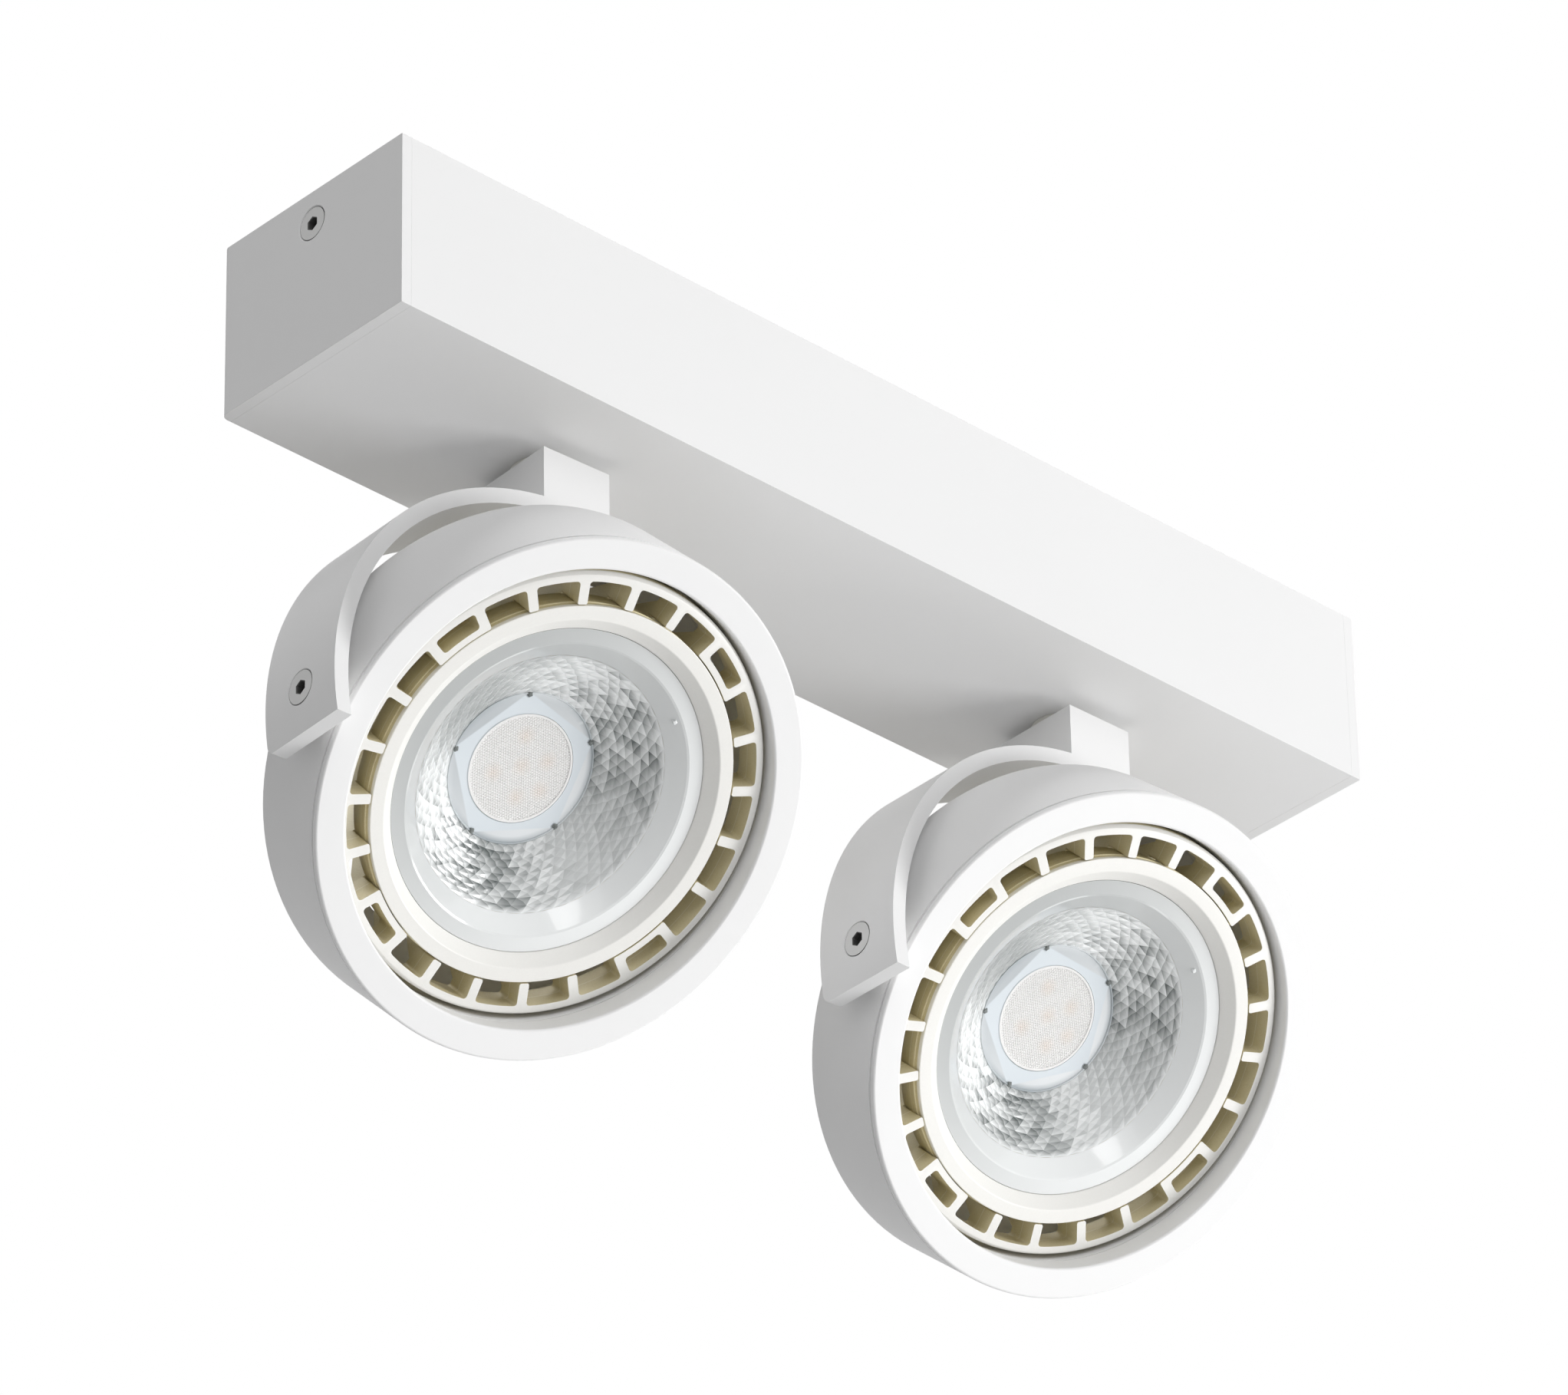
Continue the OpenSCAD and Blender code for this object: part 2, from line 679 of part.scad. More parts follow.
module terminal_screws() {
    slot = 1;
    sunk = 1;
    screw_h = terminal_screw_hole - sunk;
    screw_z = floor_z + terminal_h - terminal_screw_hole;
    color("gold") for (pole = [-1, 0, 1], s = [-1, 1])
        translate([bay_x + s * terminal_l / 4, mains_y + pole * pole_pitch, screw_z]) difference() {
            cylinder(d = terminal_screw_d, h = screw_h);
            translate([-terminal_screw_d, -slot / 2, screw_h - slot])
                cube([2 * terminal_screw_d, slot, slot + 1]);
        }
}

module earth_washer() {
    color("gold") translate([bay_x, -earth_y, floor_z + face_gap])
        tube(earth_washer_d / 2, earth_d / 2 + run_fit, 1);
}

module earth_nut() {
    color("gold") translate([bay_x, -earth_y, floor_z + face_gap + 1])
        hex_nut(1.75 * earth_d, earth_d / 2 + run_fit, 0.8 * earth_d);
}

// One curved arm with a square neck on top, cut from a single block
module yoke(side) {
    outlet_r = outlet_d / 2;
    color("white") at_yoke(side) difference() {
        union() {
            intersection() {
                rotate([90, 0, 0]) cylinder(r = yoke_out_r, h = yoke_w, center = true, $fn = 180);
                translate([-yoke_out_r, -yoke_w / 2, -arm_below])
                    cube([yoke_out_r + neck_w / 2, yoke_w, arm_below + yoke_out_r]);
            }
            translate([-neck_w / 2, -yoke_w / 2, yoke_in_r]) cube([neck_w, yoke_w, neck_top - yoke_in_r]);
        }
        rotate([90, 0, 0]) cylinder(r = yoke_in_r, h = yoke_w + 2, center = true, $fn = 180);
        translate([0, 0, stem_foot]) cylinder(r = stem_hole_r, h = stem_hold + 1);
        translate([0, 0, outlet_z - outlet_r]) cylinder(r = outlet_r, h = outlet_d + eps);
        translate([0, 0, outlet_z]) rotate([-90, 0, 0]) cylinder(r = outlet_r, h = yoke_w);
        translate([-yoke_out_r, 0, 0]) rotate([0, -90, 0]) countersunk_hole(arm_t + 1);
        arm_corner();
    }
}

// What rounds the rear lower corner of the arm
module arm_corner() {
    translate([-yoke_out_r - 1, yoke_w / 2 - arm_corner_r, arm_corner_r - arm_below])
        rotate([0, 90, 0]) difference() {
            cube([arm_corner_r + 1, arm_corner_r + 1, 3 * arm_t]);
            translate([0, 0, -1]) cylinder(r = arm_corner_r, h = 3 * arm_t + 2);
        }
}

module stem(side) {
    foot = stem_foot - pivot_drop;
    color("silver") at_swivel(side) translate([0, 0, foot]) tube(stem_d / 2, stem_bore / 2, stem_top - foot);
}

module spacer(side) {
    color("whitesmoke") at_swivel(side) translate([0, 0, -canopy_h - swivel_gap])
        tube(spacer_d / 2, stem_hole_r, swivel_gap - face_gap);
}

module stop_washer(side) {
    color("silver") at_swivel(side) translate([0, 0, washer_z]) difference() {
        union() {
            cylinder(d = washer_d, h = washer_t);
            translate([-stop_tab_w / 2, 0, 0]) cube([stop_tab_w, stop_r, washer_t]);
        }
        translate([0, 0, -eps]) cylinder(r = stem_hole_r, h = washer_t + 2 * eps);
    }
}

module disc_spring(side) {
    inner = stem_hole_r + 0.1;
    outer = washer_d / 2 - 0.5;
    color("silver") at_swivel(side) translate([0, 0, spring_z]) rotate_extrude()
        polygon([[outer, 0], [outer, spring_t], [inner + 1, spring_h], [inner, spring_h],
            [inner, spring_h - spring_t], [outer - 1, 0]]);
}

module stem_nut(side) {
    color("silver") at_swivel(side) translate([0, 0, nut_z]) hex_nut(stem_nut_af, stem_hole_r, stem_nut_h);
}

module lead_bush(side) {
    outlet_r = outlet_d / 2;
    color("dimgray") at_yoke(side) translate([0, yoke_w / 2, outlet_z]) rotate([-90, 0, 0]) difference() {
        union() {
            translate([0, 0, -bush_l]) cylinder(r = outlet_r - run_fit, h = bush_l + eps);
            cylinder(r = outlet_r + bush_lip, h = bush_lip_t);
        }
        translate([0, 0, -bush_l - 1])
            cylinder(r = outlet_r - run_fit - bush_wall, h = bush_l + bush_lip_t + 2);
    }
}

module head_shell(side) {
    front = head_front - ring_t - groove_w;
    screw_r = screw_d / 2 + run_fit;
    color("white") at_head(side) difference() {
        translate([0, 0, -head_back]) cylinder(r = head_r, h = head_back + front, $fn = 180);
        translate([0, 0, web_z]) cylinder(r = bore_r, h = head_back + head_front, $fn = 180);
        translate([0, 0, -head_back - 1]) cylinder(r = web_r, h = web_t + 2, $fn = 180);
        translate([0, 0, front - spigot_l])
            cylinder(r = bore_r + spigot_t + run_fit, h = spigot_l + 1, $fn = 180);
        rotate([0, -90, 0]) cylinder(r = screw_r, h = head_r + 1);
        translate([washer_seat - head_r, 0, 0]) rotate([0, -90, 0])
            cylinder(r = pivot_washer_d / 2 + 0.5, h = arm_gap);
        clip_places() translate([rivet_r, 0, -head_back - 1])
            cylinder(r = rivet_d / 2 + run_fit, h = web_t + 2);
    }
}

module front_ring(side) {
    outer = head_r - groove_d;
    low = head_front - ring_t - groove_w - spigot_l + face_gap;
    plate = head_front - ring_t;
    color("white") at_head(side) rotate_extrude($fn = 180)
        polygon([[bore_r, low], [bore_r + spigot_t, low], [bore_r + spigot_t, plate - groove_w],
            [outer, plate - groove_w], [outer, plate], [head_r, plate],
            [head_r, head_front - ring_bevel], [head_r - ring_bevel, head_front],
            [bore_r + ring_bevel, head_front], [bore_r, head_front - ring_bevel]]);
}

module pivot_screw(side) {
    color("white") at_yoke(side) translate([screw_sink - yoke_out_r, 0, 0]) rotate([0, -90, 0])
        countersunk_screw(pivot_screw_l);
}

module pivot_washer(side) {
    washer_r = pivot_washer_d / 2;
    inner = head_r - washer_seat + face_gap;
    outer = sqrt(yoke_in_r * yoke_in_r - washer_r * washer_r) - face_gap;
    color("whitesmoke") at_yoke(side) translate([-inner, 0, 0]) rotate([0, -90, 0])
        tube(washer_r, screw_d / 2 + run_fit, outer - inner);
}

// Places its children once for each clip, turned about the head's axis
module clip_places() {
    for (k = [0:clip_count - 1]) rotate([0, 0, 90 + k * 360 / clip_count]) children();
}

module lamp_clips(side) {
    color("silver") at_head(side) for (k = [0:clip_count - 1]) {
        angle = 90 + k * 360 / clip_count;
        top = rim_back(angle) - 0.4;
        rotate([0, 0, angle]) difference() {
            union() {
                translate([clip_r - clip_t, -clip_w / 2, web_z]) cube([clip_t, clip_w, top - web_z]);
                translate([clip_r - clip_foot, -clip_w / 2, web_z]) cube([clip_foot, clip_w, clip_t]);
                translate([clip_r - 2.5 * clip_t, -clip_w / 2, top - clip_t])
                    cube([2.5 * clip_t, clip_w, clip_t]);
            }
            translate([rivet_r, 0, web_z - 1]) cylinder(r = rivet_d / 2 + run_fit, h = clip_t + 2);
        }
    }
}

module clip_rivets(side) {
    color("silver") at_head(side) clip_places() translate([rivet_r, 0, 0]) {
        translate([0, 0, -head_back - rivet_head_h]) cylinder(d = rivet_head_d, h = rivet_head_h);
        translate([0, 0, -head_back - eps]) cylinder(d = rivet_d, h = web_t + clip_t + 2 * eps);
        translate([0, 0, web_z + clip_t]) cylinder(d = rivet_head_d, h = rivet_head_h);
    }
}

// One die casting: the hoop and teeth at the front, the cup for the lens, and the fins behind
module heat_sink(side) {
    fin_root = core_r - 2;
    rim_flat_r = lamp_r - rim_round;
    color("ivory") at_lamp(side) union() {
        rotate_extrude($fn = 180) polygon([[0, -sink_h], [core_back_r, -sink_h], [core_r, -rim_h - 1],
            [core_r, -trim_lip_t - face_gap], [trim_step_r + push_fit, -trim_lip_t - face_gap],
            [trim_step_r + push_fit, -trim_h - face_gap], [trim_bore_r - face_gap, -trim_h - face_gap],
            [trim_bore_r - face_gap, lens_back - face_gap], [lens_bowl_r + 1, lens_back - face_gap],
            [lens_slope_r + 1, lens_slope_z - lens_t - 0.4], [cavity_r, well_floor],
            [cavity_r, cavity_floor], [0, cavity_floor]]);
        rotate_extrude($fn = 180) polygon([[slot_out_r, 0], [rim_flat_r, 0], [lamp_r, -rim_round_h],
            [lamp_r, -rim_h], [slot_out_r, -rim_h]]);
        intersection() {
            rotate_extrude($fn = 180) polygon([[slot_in_r, 0], [slot_out_r + 0.5, 0],
                [slot_out_r + 0.5, -rim_h], [sink_front_r, -rim_h], [sink_back_r, -sink_h],
                [core_back_r - 1, -sink_h], [fin_root, -rim_h - 2], [fin_root, -trim_h - 1],
                [slot_in_r, -trim_h - 1]]);
            for (k = [0:tooth_count - 1]) rotate([0, 0, (k + 0.5) * 360 / tooth_count])
                translate([core_back_r / 2, -tooth_w / 2, -sink_h - 1]) cube([lamp_r, tooth_w, sink_h + 2]);
        }
        for (k = [0:3]) rotate([0, 0, k * window_pitch]) window_bar();
    }
}

// The bar that closes the inner end of a slot, from one tooth to the next
module window_bar() {
    reach = slot_in_r * tan(180 / tooth_count);
    intersection() {
        translate([0, 0, -window_bar_h]) tube(slot_in_r + window_bar, slot_in_r, window_bar_h, $fn = 180);
        translate([slot_in_r - 3, -reach, -window_bar_h - 1])
            cube([window_bar + 6, 2 * reach, window_bar_h + 2]);
    }
}

module lamp_trim(side) {
    color("linen") at_lamp(side) rotate_extrude($fn = 180)
        polygon([[trim_r, 0], [trim_r - trim_flat_w, 0], [trim_bore_r, -trim_drop], [trim_bore_r, -trim_h],
            [trim_step_r, -trim_h], [trim_step_r, -trim_lip_t], [trim_r, -trim_lip_t]]);
}

module lens(side) {
    well = diffuser_r + push_fit;
    color("lightblue") at_lamp(side) rotate_extrude($fn = 180)
        polygon([[lens_r, lens_top], [lens_r, lens_back], [lens_bowl_r, lens_back],
            [lens_slope_r, lens_slope_z - lens_t], [lens_well_r, well_floor], [well, well_floor],
            [well, -lens_depth], [lens_well_r, -lens_depth], [lens_slope_r, lens_slope_z],
            [lens_bowl_r, lens_top]]);
}

module diffuser(side) {
    color("white") at_lamp(side) translate([0, 0, -lens_depth - 0.2 - diffuser_t])
        cylinder(r = diffuser_r, h = diffuser_t);
}

module light_board(side) {
    color("khaki") at_lamp(side) {
        translate([0, 0, board_top - board_t]) cylinder(r = board_r, h = board_t);
        for (x = [-1, 0, 1], y = [-1, 0, 1])
            translate([x * chip_pitch - chip_w / 2, y * chip_pitch - chip_w / 2, board_top - eps])
                cube([chip_w, chip_w, 0.3]);
    }
}

// A plastic base covers the back of the heat sink and carries the two contact blades
module lamp_base(side) {
    color("ivory") at_lamp(side) translate([0, 0, -sink_h - base_t]) cylinder(r = base_r, h = base_t);
}

module contact_blades(side) {
    color("gold") at_lamp(side) for (s = [-1, 1])
        translate([s * blade_pitch / 2 - blade_t / 2, -blade_w / 2, -sink_h - base_t - blade_l])
            cube([blade_t, blade_w, blade_l]);
}

// A slim holder that plugs onto both blades
module lampholder(side) {
    slot_wide = blade_t + 2 * push_fit;
    slot_long = blade_w + 2 * push_fit;
    top = -sink_h - base_t - face_gap;
    color("whitesmoke") at_lamp(side) difference() {
        translate([-holder_l / 2, -holder_w / 2, top - holder_h]) cube([holder_l, holder_w, holder_h]);
        for (s = [-1, 1])
            translate([s * blade_pitch / 2 - slot_wide / 2, -slot_long / 2, top - blade_l - push_fit])
                cube([slot_wide, slot_long, blade_l + 1]);
    }
}

canopy_body();
end_cap(LEFT);  // left_end_cap
end_cap(RIGHT);  // right_end_cap
ceiling_bracket();
bracket_nuts();
end_screws();
cable_grommet();
stop_pins();
driver_case();
driver_lid();
driver_board();
driver_nuts();
terminal_block();
terminal_screws();
earth_nut();
earth_washer();
yoke(LEFT);  // left_yoke
yoke(RIGHT);  // right_yoke
stem(LEFT);  // left_stem
stem(RIGHT);  // right_stem
spacer(LEFT);  // left_spacer
spacer(RIGHT);  // right_spacer
stop_washer(LEFT);  // left_stop_washer
stop_washer(RIGHT);  // right_stop_washer
disc_spring(LEFT);  // left_disc_spring
disc_spring(RIGHT);  // right_disc_spring
stem_nut(LEFT);  // left_stem_nut
stem_nut(RIGHT);  // right_stem_nut
lead_bush(LEFT);  // left_lead_bush
lead_bush(RIGHT);  // right_lead_bush
head_shell(LEFT);  // left_head_shell
head_shell(RIGHT);  // right_head_shell
front_ring(LEFT);  // left_front_ring
front_ring(RIGHT);  // right_front_ring
pivot_screw(LEFT);  // left_pivot_screw
pivot_screw(RIGHT);  // right_pivot_screw
pivot_washer(LEFT);  // left_pivot_washer
pivot_washer(RIGHT);  // right_pivot_washer
lamp_clips(LEFT);  // left_lamp_clips
lamp_clips(RIGHT);  // right_lamp_clips
clip_rivets(LEFT);  // left_clip_rivets
clip_rivets(RIGHT);  // right_clip_rivets
heat_sink(LEFT);  // left_heat_sink
heat_sink(RIGHT);  // right_heat_sink
lamp_trim(LEFT);  // left_lamp_trim
lamp_trim(RIGHT);  // right_lamp_trim
lens(LEFT);  // left_lens
lens(RIGHT);  // right_lens
diffuser(LEFT);  // left_diffuser
diffuser(RIGHT);  // right_diffuser
light_board(LEFT);  // left_light_board
light_board(RIGHT);  // right_light_board
lamp_base(LEFT);  // left_lamp_base
lamp_base(RIGHT);  // right_lamp_base
contact_blades(LEFT);  // left_contact_blades
contact_blades(RIGHT);  // right_contact_blades
lampholder(LEFT);  // left_lampholder
lampholder(RIGHT);  // right_lampholder
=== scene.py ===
import json
from math import atan2, cos, pi, radians, sin

import bmesh
import bpy
from mathutils import Matrix, Vector


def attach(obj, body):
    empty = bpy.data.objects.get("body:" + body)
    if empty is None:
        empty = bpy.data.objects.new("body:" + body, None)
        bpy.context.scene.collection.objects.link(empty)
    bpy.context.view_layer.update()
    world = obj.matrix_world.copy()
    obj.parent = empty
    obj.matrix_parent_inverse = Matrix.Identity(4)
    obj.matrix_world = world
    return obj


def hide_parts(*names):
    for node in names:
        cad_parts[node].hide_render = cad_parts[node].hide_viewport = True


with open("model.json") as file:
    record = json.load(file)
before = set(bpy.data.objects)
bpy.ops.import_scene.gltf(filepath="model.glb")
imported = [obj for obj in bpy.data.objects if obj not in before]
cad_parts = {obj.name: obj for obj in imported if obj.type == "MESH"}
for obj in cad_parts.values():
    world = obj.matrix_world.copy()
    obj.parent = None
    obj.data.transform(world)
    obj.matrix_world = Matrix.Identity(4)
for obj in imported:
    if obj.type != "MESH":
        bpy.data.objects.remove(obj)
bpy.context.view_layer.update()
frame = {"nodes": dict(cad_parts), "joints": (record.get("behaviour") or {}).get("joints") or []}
MM = 0.001


# Canopy: a folded aluminium profile closed by two cast end plates, all in white polyester powder
# coat. Baked powder levels into a satin skin with a faint orange peel, and it rounds every edge.
def linear(colour):
    """An sRGB hex colour as linear numbers."""
    parts = [int(colour[i:i + 2], 16) / 255 for i in (0, 2, 4)]
    return [p / 12.92 if p <= 0.04045 else ((p + 0.055) / 1.055) ** 2.4 for p in parts] + [1.0]


def add_node(tree, kind, sockets=None, **settings):
    """One shader node, with its settings, socket values and incoming links."""
    made = tree.nodes.new("ShaderNode" + kind)
    for name, value in settings.items():
        setattr(made, name, value)
    for socket, value in (sockets or {}).items():
        if isinstance(value, bpy.types.NodeSocket):
            tree.links.new(value, made.inputs[socket])
        else:
            made.inputs[socket].default_value = value
    return made


def start_finish(name, **sockets):
    """A new material, its node tree, its shader and its place on the piece in metres."""
    material = bpy.data.materials.new(name)
    material.use_nodes = True
    tree = material.node_tree
    shader = tree.nodes["Principled BSDF"]
    for socket, value in sockets.items():
        shader.inputs[socket.replace("_", " ")].default_value = value
    return material, tree, shader, tree.nodes.new("ShaderNodeTexCoord").outputs["Object"]


def follow_grain(tree, shader, grain, roughness, spread, strength, depth_mm):
    """Gloss and relief that follow a grain, with the roughness by that spread each side."""
    gloss = add_node(tree, "MapRange", {"Value": grain, "From Min": 0.3, "From Max": 0.7,
                                        "To Min": roughness - spread, "To Max": roughness + spread})
    tree.links.new(gloss.outputs["Result"], shader.inputs["Roughness"])
    bump = add_node(tree, "Bump", {"Height": grain, "Strength": strength, "Distance": depth_mm * MM})
    tree.links.new(bump.outputs["Normal"], shader.inputs["Normal"])


def powder_coat(name, pale, deep, roughness):
    # Peel about 0.7 mm across, and a slow drift of tone over some 60 mm from the spray gun
    material, tree, shader, place = start_finish(name, IOR=1.5, Specular_IOR_Level=0.38)
    drift = add_node(tree, "TexNoise", {"Vector": place, "Scale": 1 / (60 * MM), "Detail": 2.0})
    tone = add_node(tree, "Mix", {0: drift.outputs["Fac"], 6: linear(deep), 7: linear(pale)},
                    data_type="RGBA")
    tree.links.new(tone.outputs[2], shader.inputs["Base Color"])
    peel = add_node(tree, "TexNoise", {"Vector": place, "Scale": 1 / (0.7 * MM), "Detail": 3.0,
                                       "Roughness": 0.6})
    follow_grain(tree, shader, peel.outputs["Fac"], roughness, spread=0.05, strength=0.25,
                 depth_mm=0.03)
    return material


def merged_copy(node):
    """A CAD node's mesh as a bmesh, joined up and with its flat faces whole."""
    bm = bmesh.new()
    bm.from_mesh(frame["nodes"][node].data)
    bmesh.ops.remove_doubles(bm, verts=bm.verts, dist=0.002 * MM)
    bmesh.ops.dissolve_limit(bm, angle_limit=radians(0.4), verts=bm.verts, edges=bm.edges)
    return bm


def soften_edges(bm, width_mm, segments=3, over=35):
    """Rounds every edge that turns by more than `over` degrees, and returns the rounded faces."""
    sharp = [e for e in bm.edges if e.is_manifold and e.calc_face_angle() > radians(over)]
    made = bmesh.ops.bevel(bm, geom=sharp, offset=width_mm * MM, offset_type="OFFSET", affect="EDGES",
                           segments=segments, profile=0.5, material=-1, clamp_overlap=True)
    return made["faces"]


def add_piece(name, bm, finishes, body, slot, *nodes, smooth=30, weighted=True):
    """Makes the mesh an object that rides on its body and stands for its CAD nodes."""
    mesh = bpy.data.meshes.new(name)
    bm.to_mesh(mesh)
    bm.free()
    for finish in finishes:
        mesh.materials.append(finish)
    mesh.polygons.foreach_set("use_smooth", [smooth > 0] * len(mesh.polygons))
    if smooth > 0:
        mesh.set_sharp_from_angle(angle=radians(smooth))
    piece = bpy.data.objects.new(name, mesh)
    bpy.context.scene.collection.objects.link(piece)
    if weighted:
        modifier = piece.modifiers.new("even shading", "WEIGHTED_NORMAL")
        modifier.keep_sharp = True
        modifier.weight = 100
    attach(piece, body)
    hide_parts(*nodes)


white_coat = [powder_coat("powder_coat_white", "F4F4F4", "F1F1F1", 0.52)]
for node, edge_mm in (("canopy_body", 0.4), ("left_end_cap", 0.35), ("right_end_cap", 0.35)):
    shape = merged_copy(node)
    soften_edges(shape, edge_mm)
    add_piece(node + "_coated", shape, white_coat, "canopy", "white_paint", node)


# Screws: hexagon-socket countersunk steel screws, cold headed and coated white like the rest.
# Their rims and sockets get a dark steel colour: painted shade for the gap round the head and the deep
# socket.
def gap_and_socket_shade():
    # Dark steel colour, mottled at about 0.4 mm: painted shade in the gap round the head and in the socket
    material, tree, shader, place = start_finish("painted_shade_in_screw_gap_and_socket", Metallic=0.4, Roughness=0.6)
    mottle = add_node(tree, "TexNoise", {"Vector": place, "Scale": 1 / (0.4 * MM), "Detail": 3.0})
    tone = add_node(tree, "Mix", {0: mottle.outputs["Fac"], 6: linear("3A3A39"), 7: linear("6B6B69")},
                    data_type="RGBA")
    tree.links.new(tone.outputs[2], shader.inputs["Base Color"])
    return material


# The key's socket is 3 mm across its flats, and its hexagonal bottom has this area
SOCKET_AF = 3
SOCKET_BOTTOM = 3 ** 0.5 / 2 * (SOCKET_AF * MM) ** 2
screw_finishes = [powder_coat("coated_screw_white", "E9E9E8", "DFDFDE", 0.4), gap_and_socket_shade()]
# The painted shade's place among the finishes
GAP_SHADE = 1
for node, body in (("end_screws", "canopy"), ("left_pivot_screw", "left_head"),
                   ("right_pivot_screw", "right_head")):
    shape = merged_copy(node)
    # The socket's bottom and walls take the painted shade
    for bottom in shape.faces:
        if abs(bottom.normal.x) > 0.9 and abs(bottom.calc_area() - SOCKET_BOTTOM) < 0.1 * MM * MM:
            for face in {f for e in bottom.edges for f in e.link_faces}:
                face.material_index = GAP_SHADE
    # The rounded rim takes the painted shade of the gap round the head
    for face in soften_edges(shape, 0.22, segments=2):
        face.material_index = GAP_SHADE
    add_piece(node + "_coated", shape, screw_finishes, body, "white_screws", node)


# Arms: each curved arm and its square neck are cut from one aluminium block and powder coated.
# The cutter leaves crisp edges that the coat only just rounds.
SIDES = ("left", "right")
for side in SIDES:
    shape = merged_copy(side + "_yoke")
    soften_edges(shape, 0.35)
    add_piece(side + "_yoke_coated", shape, white_coat, side + "_yoke", "white_paint", side + "_yoke")


# Heads: short aluminium drums turned inside and out, powder coated. A separate front ring is
# pushed in, and a fine shadow groove shows between them.
for side in SIDES:
    shape = merged_copy(side + "_head_shell")
    soften_edges(shape, 0.25, segments=2)
    add_piece(side + "_drum", shape, white_coat, side + "_head", "white_paint", side + "_head_shell")

# The spigot, the groove behind the plate, and the plate with its bevelled face
RING = [(56.25, 3.25), (59.25, 3.25), (59.25, 7.6), (63.5, 7.6), (63.5, 8.2), (64, 8.2), (64, 9.3),
        (63.6, 9.7), (56.65, 9.7), (56.25, 9.3)]
PIVOT = {joint["child"]: joint["pos_m"] for joint in frame["joints"]}
# Turn about the stem and tilt below level, in degrees, as photographed
PAN = {"left": -3, "right": -1}
TILT = {"left": 44, "right": 40}


def head_place(side):
    """From a head's own frame, with the light along +Z, to the part's."""
    return (Matrix.Translation(PIVOT[side + "_head"]) @ Matrix.Rotation(radians(PAN[side]), 4, "Z")
            @ Matrix.Rotation(radians(90 + TILT[side]), 4, "X"))


def turned(bm, outline, steps=192, closed=True):
    """Spins an outline of (radius, height) in millimetres about the Z axis."""
    verts = [bm.verts.new((r * MM, 0, z * MM)) for r, z in outline]
    following = verts[1:] + (verts[:1] if closed else [])
    edges = [bm.edges.new(pair) for pair in zip(verts, following)]
    bmesh.ops.spin(bm, geom=verts + edges, cent=(0, 0, 0), axis=(0, 0, 1), angle=2 * pi,
                   steps=steps, use_merge=True)
    bmesh.ops.remove_doubles(bm, verts=bm.verts, dist=0.001 * MM)
    bmesh.ops.recalc_face_normals(bm, faces=bm.faces)


for side in SIDES:
    shape = bmesh.new()
    turned(shape, RING)
    soften_edges(shape, 0.24)
    shape.transform(head_place(side))
    add_piece(side + "_ring_coated", shape, white_coat, side + "_head", "white_paint",
              side + "_front_ring")


# Lamp body: one aluminium die casting. Its face is sprayed cream-white; the pockets between the
# teeth, the fins and the back are coloured khaki as painted shade of the deep pockets, with a pale
# painted highlight along the seam where the two halves of the die met.

# Its face is 5 mm in front of the tilt axis. It hangs down a little in its seat, and each lamp was
# turned into its holder by another angle.
LAMP_RISE = 5
LAMP_LEAN = 3.5
LAMP_ROLL = {"left": 59, "right": 68}
# Radii of the rim, its flat face, the slots' outer ends, the teeth's tips and the bars
LAMP_R = 55.5
LAND_R = 54.1
ROOT_R = 53.0
TIP_R = 47.3
BAR_R = 48.9
TOOTH_HALF = 1.25
TEETH = 24
BARRED_EVERY = 6
HALF_PITCH = pi / TEETH
TIP_ROUND = 0.5
ROOT_ROUND = 0.9
RIM_H = 9
BACK_Z = -36
SEAM_HIGHLIGHT_DEPTH = 4.9
SEAM_HIGHLIGHT_HALF = 0.14
CREAM, KHAKI = 0, 1


def lamp_place(side):
    """From a lamp's own frame, with its face at Z = 0, to the part's."""
    return (head_place(side) @ Matrix.Translation((0, 0, LAMP_RISE * MM))
            @ Matrix.Rotation(radians(LAMP_LEAN), 4, "X")
            @ Matrix.Rotation(radians(LAMP_ROLL[side]), 4, "Z"))


def polar(r, angle):
    return (r * cos(angle) * MM, r * sin(angle) * MM, 0)


def arc(r, start, end, steps):
    return [polar(r, start + (end - start) * k / steps) for k in range(steps + 1)]


def slot_side(r):
    """The angle at which a tooth's side lies at that radius, from the middle of a slot."""
    return HALF_PITCH - TOOTH_HALF / r


def half_pitch_face(bm, barred):
    """Half of one pitch of the casting's face, from the middle of a slot to that of a tooth."""
    rim = arc(LAND_R, 0, HALF_PITCH, 4)
    root = arc(ROOT_R, slot_side(ROOT_R), 0, 3)
    if barred:
        inner = arc(TIP_R, HALF_PITCH, 0, 3) + arc(BAR_R, 0, slot_side(BAR_R), 3)
    else:
        inner = [polar(TIP_R, HALF_PITCH), polar(TIP_R, slot_side(TIP_R))]
    face = bm.faces.new([bm.verts.new(p) for p in rim + inner + root])
    corners = {TIP_ROUND: [], ROOT_ROUND: []}
    for vert in face.verts:
        r = vert.co.length / MM
        off_side = abs(vert.co.to_2d().angle_signed(Vector((1, 0)), 0) - slot_side(r))
        at_tip = r < TIP_R + 0.1
        if off_side < 1e-4 and not (at_tip and barred):
            corners[TIP_ROUND if at_tip else ROOT_ROUND].append(vert)
    for width, verts in corners.items():
        if verts:
            bmesh.ops.bevel(bm, geom=verts, offset=width * MM, offset_type="OFFSET", affect="VERTICES",
                            segments=4, profile=0.5, material=-1)


def take_in(bm, other):
    """Adds another bmesh's faces to this one, and frees the other."""
    mesh = bpy.data.meshes.new("joined")
    other.to_mesh(mesh)
    other.free()
    bm.from_mesh(mesh)
    bpy.data.meshes.remove(mesh)


def face_front(bm):
    """Turns the faces of an open sheet towards +Z."""
    bmesh.ops.recalc_face_normals(bm, faces=bm.faces)
    if sum(f.normal.z for f in bm.faces) < 0:
        bmesh.ops.reverse_faces(bm, faces=bm.faces)


